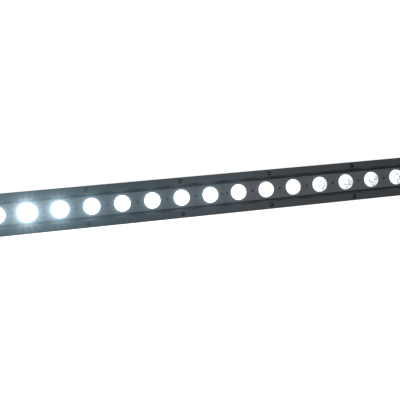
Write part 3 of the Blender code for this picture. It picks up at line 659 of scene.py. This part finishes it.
def make_lens(number):
    """A domed lens with a stepped rim, its flange under the panel, and the cone behind it."""
    name = f"lens_{number:02}"
    low, high = local_box(name)
    x, tip, back = centre(name).x, low.y, high.y
    steps, dome, edge = 10, 0.0042, 0.0004
    flange_front, flange_back = 0.0078, 0.0093
    well_radius, well_floor = 0.0039, 0.018
    radii = [LENS_RADIUS * 0.93 * i / steps for i in range(steps + 1)]
    profile = [(r, tip + dome * (1 - sqrt(1 - 0.55 * (r / LENS_RADIUS) ** 2))) for r in radii]
    rim = profile[-1][1]
    profile += [(LENS_RADIUS * 0.935, rim + 0.0002), (LENS_RADIUS * 0.96, rim + 0.0002)]
    profile += arc(LENS_RADIUS - edge, rim + 0.0008, edge, -90, 0, 3)
    profile.append((LENS_RADIUS, flange_front))
    profile += [(LENS_FLANGE_RADIUS, flange_front), (LENS_FLANGE_RADIUS, flange_back)]
    cone_radius, cone_taper, cone_front = 0.0168, 0.0100, 0.0096
    for k in (0.05, 0.25, 0.45, 0.65, 0.85, 1):
        profile.append((cone_radius - cone_taper * k**1.3, cone_front + (back - cone_front) * k))
    profile += [(well_radius, back), (well_radius, well_floor + 0.0012)]
    profile += [(well_radius - 0.0005, well_floor + 0.0003), (0.002, well_floor), (0, well_floor)]
    lens = mesh_object(name + "_optic", solid(turned, "Y", (0, 0), profile, 64), BAR + Vector((x, 0, 0)))
    # Painted light: the strength, the left-side glow and the bright core all grow towards lens 1.
    near = exp(-(((number - 1) / NEAR_REACH) ** 3))
    left = max(0, FIRST_DIM_LENS - number)
    strength = DIM_STRENGTH + 0.06 * left + 0.5 * min(1, left / 3) + NEAR_STRENGTH * near
    contrast = min(1.15, max(0, (number - 8) / 5))
    lead = 0.5 + 0.5 * near if number < 9 else 0.2
    material = lens_material(number, strength, contrast, lead, CORE_GAIN * sqrt(near))
    piece(lens, material, [name])


def make_front():
    places = led_places()
    for name, side in (("upper", 1), ("lower", -1)):
        make_rail(name, side)
        for number in range(1, RAIL_SCREWS + 1):
            make_rail_screw(f"{name}_rail_screw_{number}")
        make_counterbore_shade_liners(name)
    half = LENSES // 2
    for name, side, module in (("left", -1, places[:half]), ("right", 1, places[half:])):
        screw_places = panel_screw_places(module, side)
        make_lens_panel(name, module, screw_places)
        make_panel_screws(name, screw_places)
    for number in range(1, LENSES + 1):
        make_lens(number)


make_front()

# Screws in rows


def make_screws(name, axis, places, face, out, radius, height, look):
    """Screws in one piece: domed heads on a face that points to out, and their shanks behind it."""
    bm, sockets = bmesh.new(), bmesh.new()
    top, under, end = face + out * height, face, face - out * 0.004
    flat, shank = radius * 0.3, radius * 0.55
    for middle in places:
        profile = [(0, top), (flat, top)]
        for a in QUARTER[1:]:
            profile.append((flat + (radius - flat) * sin(a), under + (top - under) * cos(a)))
        profile += [(shank, under), (shank, end), (0, end)]
        turned(bm, axis, middle, profile, 24)
        prism(sockets, axis, circle(*middle, radius * 0.42, 6), top + out * MARGIN, top - out * radius * 0.35)
    screws = mesh_object(name, bm)
    combine(screws, sockets)
    material, slot = look
    piece(screws, material)


# Housing, covers and ends

FIN_COUNT = 13
FIN_GROOVE = 0.0035
GROOVE_FLOOR_Z = 0.037
LAND_FRONT, LAND_BACK = RAIL_THICKNESS + GAP, 0.0133
CHANNEL_FLOOR = 0.0265
BAY_FRONT, BAY_HALF = 0.031, 0.0345
CAP_INNER_X, CAP_OUTER_X = 0.488, 0.500
STUD_RADIUS = 0.004
STUD_BORE_RADIUS = STUD_RADIUS + GAP
STUD_BORE_DEPTH = 0.0105
CORNER_RADIUS = 0.003
COVER_HALF = 0.036
COVER_END_X = 0.4858
COVER_FRONT = 0.090
COVER_SCREW_XS = (-0.470, -0.3525, -0.235, -0.1175, 0, 0.1175, 0.235, 0.3525, 0.470)
COVER_SCREW_Z = 0.0322
SOCKET_XS = {"power_inlet": -0.440, "data_inlet": -0.395, "data_outlet": 0.395, "power_outlet": 0.440}
BARREL_RADIUS = 0.0118
SOCKET_RADIUS = 0.0095
FLANGE_BOX = (0.013, 0.0155)
FLANGE_SCREW = (0.0098, 0.0121)


def make_housing():
    """The extrusion, with softened fin tips."""
    pitch = (DEPTH - LAND_BACK) / FIN_COUNT
    tip, root, seat = 0.0005, 0.0008, COVER_FRONT - GAP
    half = [(CHANNEL_FLOOR, RAIL_INNER_Z, 0)]
    half += [(LAND_FRONT, RAIL_INNER_Z, 0.0003), (LAND_FRONT, HALF_FACE, 0.0004)]
    for i in range(FIN_COUNT):
        near, far = LAND_BACK + i * pitch, LAND_BACK + i * pitch + FIN_GROOVE
        half += [(near, HALF_FACE, tip), (near, GROOVE_FLOOR_Z, root)]
        half += [(far, GROOVE_FLOOR_Z, root), (far, HALF_FACE, tip)]
    half += [(DEPTH, HALF_FACE, tip), (DEPTH, COVER_HALF + GAP, 0.0003)]
    half += [(seat, COVER_HALF + GAP, 0), (seat, BAY_HALF, 0), (BAY_FRONT, BAY_HALF, 0)]
    corners = half + [(u, -v, r) for u, v, r in reversed(half)]
    outline = rounded([(u, v) for u, v, r in corners], [r for u, v, r in corners], 3)
    housing = mesh_object("finned_housing", solid(prism, "X", outline, -BODY_HALF, BODY_HALF))
    bm = bmesh.new()
    for x in rail_screw_places():
        for z in (centre("upper_rail_screw_1").z, centre("lower_rail_screw_1").z):
            hole = circle(x, z, RAIL_SCREW_HOLE_RADIUS, 16)
            prism(bm, "Y", hole, LAND_FRONT - MARGIN, LAND_BACK + MARGIN)
    cable_way = circle(0.150, 0, 0.0045)
    prism(bm, "Y", cable_way, CHANNEL_FLOOR - MARGIN, BAY_FRONT + MARGIN)
    combine(housing, bm)
    piece(housing, housing_finish, ["housing"])


def cover_screw_places():
    return [(x, z) for z in (-COVER_SCREW_Z, COVER_SCREW_Z) for x in COVER_SCREW_XS]


def make_rear_cover():
    """The rear plate, with openings for the sockets, the display and the keys."""
    sides = (-COVER_END_X, COVER_END_X, -COVER_HALF, COVER_HALF)
    cover = mesh_object("rear_plate", solid(plate, "Y", sides, 0.001, COVER_FRONT, DEPTH, 0.0004))
    low, high = local_box("display_window")
    start, end = COVER_FRONT - MARGIN, DEPTH + MARGIN
    bm = bmesh.new()
    for x in SOCKET_XS.values():
        prism(bm, "Y", circle(x, 0, BARREL_RADIUS + GAP), start, end)
    radius = KEY_RADIUS + GAP
    hole = [(0, end), (radius + 0.0014, end), (radius, DEPTH - 0.0004), (radius, start), (0, start)]
    for name in KEYS:
        turned(bm, "Y", (centre(f"{name}_button").x, 0), hole)
    opening = rectangle(low.x - GAP, high.x + GAP, low.z - GAP, high.z + GAP)
    prism(bm, "Y", rounded(opening, 0.0012), start, end)
    sink = [(0, end), (0.0042, end), (0.0018, DEPTH - 0.0014), (0.0018, start), (0, start)]
    for middle in cover_screw_places():
        turned(bm, "Y", middle, sink, 32)
    combine(cover, bm)
    x = SOCKET_XS["data_outlet"]
    latch_way = rectangle(x - 0.0045, x + 0.0045, 0.008, 0.0148)
    combine(cover, solid(prism, "Y", latch_way, start, end))
    piece(cover, cover_finish, ["rear_cover"])
    bm, sockets = bmesh.new(), bmesh.new()
    top, shank, tip = DEPTH - 0.0002, 0.0016, DEPTH - 0.006
    head = [(0, top), (0.0028, top), (0.0030, top - 0.0002), (shank, top - 0.0013), (shank, tip), (0, tip)]
    for middle in cover_screw_places():
        turned(bm, "Y", middle, head, 24)
        prism(sockets, "Y", circle(*middle, 0.0012, 6), top - 0.0010, end)
    screws = mesh_object("rear_plate_screws", bm)
    combine(screws, sockets)
    piece(screws, screw_finish)


def make_end(name, side):
    """A machined end plate with a rounded edge, four sunk screws and a ring round the pivot."""
    inner, outer, beyond = side * CAP_INNER_X, side * CAP_OUTER_X, side * (CAP_OUTER_X + MARGIN)
    cap = solid(plate, "X", (0, DEPTH, -HALF_FACE, HALF_FACE), CORNER_RADIUS, inner, outer, 0.0015)
    cap = mesh_object(f"{name}_end_plate", cap)
    places = [(u, v) for u in (0.0095, DEPTH - 0.0095) for v in (-0.0318, 0.0318)]
    bm = bmesh.new()
    floor = side * 0.4970
    seat = [(0, beyond), (0.0051, beyond), (0.0041, outer - side * 0.0003), (0.0041, floor), (0, floor)]
    for middle in places:
        turned(bm, "X", middle, seat, 32)
    end = side * (CAP_OUTER_X - STUD_BORE_DEPTH)
    bore = [(0, beyond), (0.0058, beyond), (STUD_BORE_RADIUS, outer - side * 0.0005), (STUD_BORE_RADIUS, end)]
    turned(bm, "X", (AXIS_DEPTH, 0), [*bore, (0, end)], 40)
    groove = rectangle(0.0172, 0.0180, outer - side * 0.0005, beyond)
    turned(bm, "X", (AXIS_DEPTH, 0), groove, 64, closed=True)
    combine(cap, bm)
    piece(cap, cap_finish, [f"{name}_end_cap"])
    look = (screw_finish, "black_screws")
    make_screws(f"{name}_end_screws", "X", places, floor + side * 0.0001, side, 0.0035, 0.0021, look)


# Brackets and knobs

BRACKET_INNER_X, BRACKET_OUTER_X = 0.5021, 0.5051
BRACKET_HALF = 0.030
FOOT_END_X = 0.463
FOOT_HOLE_X = 0.482
FOOT_HOLE_RADIUS = 0.00625
KNOB_INNER_X = 0.5054
KNOB_OUTER_X = 0.5274
KNOB_SIDES = 96
THREAD_PITCH = 0.00125


def make_bracket(name, side):
    """A folded arm with an arched top, a smooth bend and softened edges."""
    floor, sheet, bend = -BAR.z, 0.003, 0.005
    outer = arc(BRACKET_OUTER_X - bend, floor + bend, bend, 270, 360, 12)
    inner = arc(BRACKET_OUTER_X - bend, floor + bend, bend - sheet, 360, 270, 12)
    outline = [(FOOT_END_X, floor), *outer, (BRACKET_OUTER_X, BRACKET_HALF), (BRACKET_INNER_X, BRACKET_HALF)]
    outline += [*inner, (FOOT_END_X, floor + sheet)]
    outline = [(side * x, z) for x, z in outline]
    span = (AXIS_DEPTH - BRACKET_HALF, AXIS_DEPTH + BRACKET_HALF)
    bracket = mesh_object(f"{name}_tilt_arm", solid(prism, "Y", outline, *span))
    through_arm = (side * (BRACKET_INNER_X - MARGIN), side * (BRACKET_OUTER_X + MARGIN))
    through_foot = (floor - MARGIN, floor + sheet + MARGIN)
    beyond = BRACKET_HALF + 0.005
    bm = bmesh.new()
    for way in (1, -1):
        outside = AXIS_DEPTH + way * beyond
        arch = arc(AXIS_DEPTH, 0, BRACKET_HALF, 90, 90 - 90 * way, 24)
        prism(bm, "X", [*arch, (outside, 0), (outside, beyond), (AXIS_DEPTH, beyond)], *through_arm)
    combine(bracket, bm)
    bm = bmesh.new()
    for way in (1, -1):
        waste = corner_waste(side * FOOT_END_X, AXIS_DEPTH + way * BRACKET_HALF, -side, way, 0.006)
        prism(bm, "Z", waste, *through_foot)
    prism(bm, "X", circle(AXIS_DEPTH, 0, STUD_RADIUS + 0.0005), *through_arm)
    prism(bm, "Z", circle(side * FOOT_HOLE_X, AXIS_DEPTH, FOOT_HOLE_RADIUS), *through_foot)
    combine(bracket, bm)
    bevel(bracket, 0.0004, 2)
    piece(bracket, bracket_finish, [f"{name}_bracket"], f"{name}_bracket")


def knob_hub(radius):
    return circle(AXIS_DEPTH, 0, radius, KNOB_SIDES)


def knob_outline(scale):
    """The outline of the knob's six lobes."""
    angles = [tau * i / KNOB_SIDES for i in range(KNOB_SIDES)]
    radii = [scale * (0.0195 + 0.0025 * cos(6 * a)) for a in angles]
    return [(AXIS_DEPTH + r * cos(a), r * sin(a)) for r, a in zip(radii, angles, strict=True)]


def make_knob(name, side):
    """A lobed grip with rounded edges and a dished face, and its threaded stud."""
    shoulder, edge = KNOB_INNER_X + 0.006, 0.0030
    sections = [(KNOB_INNER_X, knob_hub(0.0094)), (KNOB_INNER_X + 0.0006, knob_hub(0.0100))]
    sections += [(shoulder - 0.0006, knob_hub(0.0100)), (shoulder, knob_hub(0.0106))]
    sections += [(shoulder + 0.0002, knob_outline(0.9)), (shoulder + 0.0010, knob_outline(1))]
    for k in range(7):
        a = pi / 2 * k / 6
        sections.append((KNOB_OUTER_X - edge * (1 - sin(a)), knob_outline(1 - 0.12 * (1 - cos(a)))))
    dish = [(0, 0.0135), (0.0005, 0.0130), (0.0012, 0.0110), (0.0016, 0.0060), (0.0016, 0.0020)]
    sections += [(KNOB_OUTER_X - sunk, knob_hub(radius)) for sunk, radius in dish]
    grip = solid(loft, "X", [(side * x, outline) for x, outline in sections])
    grip = mesh_object(f"{name}_knob_grip", grip)
    piece(grip, knob_finish, [f"{name}_tilt_knob"], f"{name}_knob", 40)
    start, end = CAP_OUTER_X - 0.010, KNOB_INNER_X - 0.0001
    profile = [(0, start), (0.0030, start)]
    for i in range(int((end - start - 0.001) / THREAD_PITCH)):
        root = start + 0.0006 + i * THREAD_PITCH
        profile += [(0.0034, root), (STUD_RADIUS, root + THREAD_PITCH / 2)]
    profile += [(0.0036, end), (0, end)]
    stud = solid(turned, "X", (AXIS_DEPTH, 0), [(r, side * x) for r, x in profile], 32)
    piece(mesh_object(f"{name}_knob_stud", stud), zinc_finish, body=f"{name}_knob")


# Sockets, display, keys and the safety lug

KEYS = ("menu", "down", "up", "enter")
KEY_RADIUS = 0.0037
SOCKET_FLOOR = FACE - 0.015
DATA_PIN_CIRCLE = 0.0048
MAINS_KEY_ANGLES = (90, 210, 330)


def make_socket(name, material):
    """A flange with rounded edges, the barrel behind it and a chamfered mouth."""
    x = SOCKET_XS[name]
    half_width, half_height = FLANGE_BOX
    flange = (x - half_width, x + half_width, -half_height, half_height)
    socket = mesh_object(f"{name}_shell", solid(plate, "Y", flange, CORNER_RADIUS, OUTSIDE, FACE, 0.0006))
    barrel = circle(x, 0, BARREL_RADIUS - 0.0002)
    combine(socket, solid(prism, "Y", barrel, FACE - 0.028, FACE - MARGIN), "UNION")
    bm = bmesh.new()
    mouth = [(0, FACE + MARGIN), (SOCKET_RADIUS + 0.0016, FACE + MARGIN), (SOCKET_RADIUS, FACE - 0.0006)]
    turned(bm, "Y", (x, 0), [*mouth, (SOCKET_RADIUS, SOCKET_FLOOR), (0, SOCKET_FLOOR)], 64)
    low, high = FACE - 0.0003, FACE + MARGIN
    groove = [(0.0108, low), (0.0108, high), (0.0113, high), (0.0113, low)]
    turned(bm, "Y", (x, 0), groove, 64, closed=True)
    combine(socket, bm)
    if name == "data_outlet":
        latch_way = rectangle(x - 0.0038, x + 0.0038, 0.0107, 0.0145)
        combine(socket, solid(prism, "Y", latch_way, OUTSIDE - 0.0085, FACE + MARGIN))
    piece(socket, material, [name])


def make_power_socket(name, ring_finish):
    """A locking mains socket: a keyed ring inside the mouth, and a post with three contacts."""
    make_socket(name, socket_finish)
    x = SOCKET_XS[name]
    ring = [(0.0078, SOCKET_FLOOR), (0.0094, SOCKET_FLOOR), (0.0094, FACE - 0.0010), (0.0078, FACE - 0.0016)]
    keyed = mesh_object(f"{name}_keyed_ring", solid(turned, "Y", (x, 0), ring, 64, closed=True))
    bm = bmesh.new()
    for angle in MAINS_KEY_ANGLES:
        u, v = arc(x, 0, 0.0086, angle, angle, 1)[0]
        prism(bm, "Y", circle(u, v, 0.0014, 16), FACE - 0.006, FACE + MARGIN)
    combine(keyed, bm)
    piece(keyed, ring_finish)
    tip = SOCKET_FLOOR + 0.011
    post = round_post(0.0032, SOCKET_FLOOR, tip, 0.0006)
    post = mesh_object(f"{name}_post", solid(turned, "Y", (x, 0), post))
    bm = bmesh.new()
    for angle in MAINS_KEY_ANGLES:
        u, v = arc(x, 0, 0.0029, angle, angle, 1)[0]
        prism(bm, "Y", circle(u, v, 0.0008, 12), tip - 0.008, tip + MARGIN)
    combine(post, bm)
    piece(post, socket_finish)


def data_pin_places(x):
    return arc(x, 0, DATA_PIN_CIRCLE, 90, 450, 3)[:-1]


def make_inlet_pins():
    """Three pins on a disc."""
    x = SOCKET_XS["data_inlet"]
    bm = bmesh.new()
    face = SOCKET_FLOOR + 0.0012
    disc = [(0, SOCKET_FLOOR), (0.0092, SOCKET_FLOOR), (0.0092, face), (0, face)]
    turned(bm, "Y", (x, 0), disc, 64)
    backing = mesh_object("data_inlet_insert", bm)
    bm = bmesh.new()
    for middle in data_pin_places(x):
        prism(bm, "Y", circle(*middle, 0.0016, 16), SOCKET_FLOOR - MARGIN, SOCKET_FLOOR + 0.002)
    combine(backing, bm)
    piece(backing, socket_finish)
    bm = bmesh.new()
    tip, radius = SOCKET_FLOOR + 0.011, 0.0012
    pin = [(0, SOCKET_FLOOR), (radius, SOCKET_FLOOR), (radius, tip - 0.0010)]
    pin += [(radius - 0.0003, tip - 0.0003), (radius - 0.0008, tip), (0, tip)]
    for middle in data_pin_places(x):
        turned(bm, "Y", middle, pin, 20)
    piece(mesh_object("data_inlet_pins", bm), contact_finish)


def make_outlet_insert():
    """A round insert with three holes, which leaves a ring-shaped mouth."""
    x = SOCKET_XS["data_outlet"]
    tip = SOCKET_FLOOR + 0.0135
    insert = round_post(0.0077, SOCKET_FLOOR, tip, 0.0006)
    insert = mesh_object("data_outlet_insert", solid(turned, "Y", (x, 0), insert, 64))
    bm = bmesh.new()
    beyond, floor = tip + MARGIN, tip - 0.009
    hole = [(0, beyond), (0.0026, beyond), (0.0014, tip - 0.0006), (0.0014, floor), (0, floor)]
    for middle in data_pin_places(x):
        turned(bm, "Y", middle, hole, 20)
    prism(bm, "Y", rectangle(x - 0.0009, x + 0.0009, -0.009, -0.0062), tip - 0.008, beyond)
    combine(insert, bm)
    piece(insert, socket_finish)


def make_data_latch():
    """The outlet's release tab, with three grip grooves."""
    low, high = local_box("data_outlet_latch")
    latch = solid(plate, "Y", (low.x, high.x, low.z, high.z), 0.0008, low.y, high.y, 0.0005)
    latch = mesh_object("data_latch_tab", latch)
    bm = bmesh.new()
    for i in (-1, 0, 1):
        x = centre("data_outlet_latch").x + i * 0.0016
        groove = rectangle(x - 0.0003, x + 0.0003, low.z - MARGIN, high.z + MARGIN)
        prism(bm, "Y", groove, high.y - 0.0003, high.y + MARGIN)
    combine(latch, bm)
    piece(latch, nickel_finish, ["data_outlet_latch"], "data_latch")


CHANNEL = "0001"
SEGMENTS = {"0": "abcdef", "1": "bc"}
DIGIT_PITCH = 0.0078
DIGIT_WIDTH, DIGIT_HEIGHT = 0.0042, 0.0078


def segment_places():
    """The bars of a digit that the channel number needs: (x, z, is upright)."""
    across, up = DIGIT_WIDTH / 2, DIGIT_HEIGHT / 2
    return {
        "a": (0, up, False),
        "b": (across, up / 2, True),
        "c": (across, -up / 2, True),
        "d": (0, -up, False),
        "e": (-across, -up / 2, True),
        "f": (-across, up / 2, True),
    }


def make_display():
    """A smoked window over a four-digit display that shows a channel number."""
    low, high = local_box("display_window")
    pane = solid(plate, "Y", (low.x, high.x, low.z, high.z), 0.0009, low.y, high.y, 0.0003)
    piece(mesh_object("display_pane", pane), display_finish, ["display_window"])
    thin = 0.00045
    upright_half = (thin, (DIGIT_HEIGHT / 2 - 0.0012) / 2)
    level_half = ((DIGIT_WIDTH - 0.0010) / 2, thin)
    bm = bmesh.new()
    for i, digit in enumerate(CHANNEL):
        digit_x = centre("display_window").x + (1.5 - i) * DIGIT_PITCH
        for letter in SEGMENTS[digit]:
            x, z, upright = segment_places()[letter]
            x = digit_x - x
            across, up = upright_half if upright else level_half
            box = rectangle(x - across, x + across, z - up, z + up)
            prism(bm, "Y", rounded(box, 0.0003, 2), high.y - 0.0002, high.y + 0.00008)
    piece(mesh_object("display_digits", bm), digit_finish)


def key_symbol(bm, name, x, face):
    """A raised mark on a key: three bars, an arrow down, an arrow up, and a ring with a dot."""
    root, top = face - 0.0004, face + 0.00015
    if name == "menu":
        for z in (-0.0011, 0, 0.0011):
            prism(bm, "Y", rectangle(x - 0.0014, x + 0.0014, z - 0.00025, z + 0.00025), root, top)
    elif name == "enter":
        prism(bm, "Y", circle(x, 0, 0.0006, 20), root, top)
        ring = [(0.0012, root), (0.0016, root), (0.0016, top), (0.0012, top)]
        turned(bm, "Y", (x, 0), ring, 32, closed=True)
    else:
        way = 1 if name == "up" else -1
        arrow = [(x - 0.0015, -way * 0.0008), (x + 0.0015, -way * 0.0008), (x, way * 0.0013)]
        prism(bm, "Y", arrow, root, top)


def make_keys():
    """Dished round keys with a collar behind the rear plate, and their marks."""
    stem_radius, collar_radius, collar = 0.002, 0.0046, (0.0880, 0.0894)
    for name in KEYS:
        low, high = local_box(f"{name}_button")
        x, radius = centre(f"{name}_button").x, KEY_RADIUS
        face = high.y - 0.0002
        profile = [(0, low.y), (stem_radius, low.y), (stem_radius, collar[0]), (collar_radius, collar[0])]
        profile += [(collar_radius, collar[1]), (radius, collar[1]), (radius, high.y - 0.0005)]
        profile += [(radius - 0.00015, high.y - 0.00015), (radius - 0.0005, high.y)]
        profile += [(radius * 0.6, face + 0.00003), (radius * 0.3, face), (0, face)]
        key = mesh_object(f"{name}_key", solid(turned, "Y", (x, 0), profile, 40))
        piece(key, button_finish, [f"{name}_button"], f"{name}_button")
        mark = mesh_object(f"{name}_key_mark", solid(key_symbol, name, x, face))
        piece(mark, mark_finish, body=f"{name}_button")


def make_safety_lug():
    """An angle bolted to the rear plate, its eye and corners softened."""
    low, high = local_box("safety_lug")
    sheet, half_height = 0.0025, high.z
    through = (-sheet - MARGIN, MARGIN)
    base = OUTSIDE + sheet
    outline = [(OUTSIDE, -half_height), (base, -half_height), (base, -sheet), (high.y, -sheet), (high.y, 0)]
    outline += [(base, 0), (base, half_height), (OUTSIDE, half_height)]
    radii = [0, 0.0006, 0.0012, 0.0006, 0.0006, 0.0012, 0.0006, 0]
    lug = mesh_object("cable_lug", solid(prism, "X", rounded(outline, radii), low.x, high.x))
    middle = (low.x + high.x) / 2
    bm = bmesh.new()
    prism(bm, "Z", circle(middle, (base + high.y) / 2, 0.006), *through)
    for way in (1, -1):
        prism(bm, "Z", corner_waste(middle + way * 0.015, high.y, way, 1, 0.005), *through)
    combine(lug, bm)
    bevel(lug, 0.0003, 2, 50)
    piece(lug, zinc_finish, ["safety_lug"])
    places = [(middle + way * 0.0095, z) for way in (1, -1) for z in (-0.0092, 0.0088)]
    make_screws("cable_lug_screws", "Y", places, base, 1, 0.0034, 0.0020, (zinc_finish, "zinc_steel"))


def make_socket_screws():
    across, up = FLANGE_SCREW
    places = [(x + way * across, -way * up) for x in SOCKET_XS.values() for way in (1, -1)]
    make_screws("socket_screws", "Y", places, FACE, 1, 0.0023, 0.0011, (screw_finish, "black_screws"))


make_housing()
make_rear_cover()
for end, direction in (("left", -1), ("right", 1)):
    make_end(end, direction)
    make_bracket(end, direction)
    make_knob(end, direction)
make_power_socket("power_inlet", inlet_ring_finish)
make_power_socket("power_outlet", outlet_ring_finish)
make_socket("data_inlet", nickel_finish)
make_socket("data_outlet", nickel_finish)
make_inlet_pins()
make_outlet_insert()
make_data_latch()
make_socket_screws()
make_display()
make_keys()
make_safety_lug()

# CAD nodes whose shape stays

KEPT = {
    "left_end_gasket": rubber_finish,
    "right_end_gasket": rubber_finish,
    "left_friction_disc": friction_finish,
    "right_friction_disc": friction_finish,
    "left_led_board": white_board_finish,
    "right_led_board": white_board_finish,
    "control_board": board_finish,
    "power_supply": mill_finish,
    "led_cable": rubber_finish,
}
for name, material in KEPT.items():
    data = frame["nodes"][name].data
    data.materials.clear()
    data.materials.append(material)


# Camera, floor and light

CAMERA_PLACE = Vector((-0.398, -1.3671, 0.0119))
CAMERA_YAW = radians(14.11)
CAMERA_PITCH = radians(-0.82)
CAMERA_ROLL = radians(-5.40)
CAMERA_LENS_MM = 63.0


def make_camera():
    yaw, pitch, roll = CAMERA_YAW, CAMERA_PITCH, CAMERA_ROLL
    forward = Vector((sin(yaw) * cos(pitch), cos(yaw) * cos(pitch), sin(pitch)))
    right = Vector((cos(yaw), -sin(yaw), 0))
    up = right.cross(forward)
    x_axis = right * cos(roll) + up * sin(roll)
    y_axis = up * cos(roll) - right * sin(roll)
    turn = Matrix((x_axis, y_axis, -forward)).transposed()
    data = bpy.data.cameras.new("camera")
    data.lens = CAMERA_LENS_MM
    data.sensor_width = 36.0
    data.clip_start = 0.01
    camera = link(bpy.data.objects.new("camera", data))
    camera.matrix_world = Matrix.Translation(BAR + CAMERA_PLACE) @ turn.to_4x4()
    bpy.context.scene.camera = camera


def make_area_light(name, place, target, size, power, colour=(1, 1, 1)):
    data = bpy.data.lights.new(name, "AREA")
    data.shape = "RECTANGLE"
    data.size, data.size_y = size
    data.energy = power
    data.color = colour
    light = link(bpy.data.objects.new(name, data))
    light.location = place
    light.rotation_euler = (Vector(target) - Vector(place)).to_track_quat("-Z", "Y").to_euler()


# The floor's tone as the pieces see it, its tone to the camera, and how far that is lifted towards white

FLOOR_LIT = tinted(0.22)
FLOOR_SEEN = tinted(0.6)
FLOOR_LIFT = 0.84


def make_floor():
    """A pale, softly lit table that runs out of sight."""
    bm = bmesh.new()
    bmesh.ops.create_grid(bm, x_segments=2, y_segments=2, size=6)
    floor = mesh_object("floor", bm, Vector((0, 0, 0)))
    material, tree, shader = new_material("floor_finish", 0.9)
    seen = node(tree, "LightPath").outputs["Is Camera Ray"]
    connect(tree, mix_colours(tree, seen, FLOOR_LIT, FLOOR_SEEN), shader.inputs["Base Color"])
    shader.inputs["Emission Color"].default_value = (1, 1, 1, 1)
    connect(tree, product(tree, seen, FLOOR_LIFT), shader.inputs["Emission Strength"])
    floor.data.materials.append(material)


def make_world():
    """White to the camera; a dimmer studio for the light, brightest in front on the left."""
    world = bpy.data.worlds.new("studio")
    world.use_nodes = True
    bpy.context.scene.world = world
    tree = world.node_tree
    background = tree.nodes["Background"]
    background.inputs["Color"].default_value = (1, 1, 1, 1)
    direction = node(tree, "TexCoord").outputs["Generated"]
    facing = node(
        tree, "VectorMath", {0: direction, 1: (-0.6, -0.8, 0.1)}, operation="DOT_PRODUCT"
    ).outputs["Value"]
    studio = remap(tree, facing, 0.06, 0.5, -1, 1)
    height = node(tree, "SeparateXYZ", {0: direction}).outputs["Z"]
    flags = remap(tree, math_node(tree, "ABSOLUTE", height), 1, 0.3, 0.35, 0.95)
    studio = product(tree, studio, flags)
    seen = node(tree, "LightPath").outputs["Is Camera Ray"]
    connect(tree, math_node(tree, "MAXIMUM", studio, seen), background.inputs["Strength"])


def make_bloom():
    """The halo and fine rays that very bright lenses leave in a camera."""
    scene = bpy.context.scene
    scene.use_nodes = True
    tree = scene.node_tree
    tree.nodes.clear()
    image = node(tree, "RLayers").outputs["Image"]
    for kind, settings in BLOOM:
        inputs = {"Image": image, **settings}
        glare = node(tree, "Glare", inputs, glare_type=kind, quality="HIGH")
        image = glare.outputs["Image"]
    node(tree, "Composite", {"Image": image})


# A soft edge, a wide bluish haze, and fine rays from the very brightest lenses
BLOOM = [
    ("BLOOM", {"Threshold": 1.8, "Clamp": True, "Maximum": 4.0, "Strength": 0.16, "Size": 0.01}),
    ("BLOOM", {"Threshold": 1.75, "Strength": 1.14, "Size": 0.38, "Tint": (0.49, 0.83, 1.0, 1)}),
    ("STREAKS", {"Threshold": 8.0, "Clamp": True, "Maximum": 20.0, "Strength": 0.52, "Streaks": 16,
                 "Streaks Angle": radians(11.25), "Iterations": 3, "Fade": 0.83}),
]

make_camera()
make_floor()
make_world()
make_bloom()
make_area_light("key", (-1.0, -1.5, 0.5), (-0.1, 0, 0.1), (0.8, 0.5), 9, (0.95, 0.98, 1.0))
make_area_light("fill", (0.5, -1.5, 0.16), (0.05, 0, 0.1), (0.4, 0.4), 5.5, (0.93, 0.97, 1.0))
make_area_light("top", (0.2, 0.9, 1.5), (0, 0.05, 0.1), (2.0, 0.8), 5)
make_area_light("rear", (-0.7, 1.7, 0.7), (0, 0.05, 0.08), (1.2, 0.8), 14)
make_area_light("side", (1.9, -0.1, 0.6), (0.5, 0, 0.08), (0.6, 0.6), 5)
bpy.context.scene.view_settings.view_transform = "Standard"
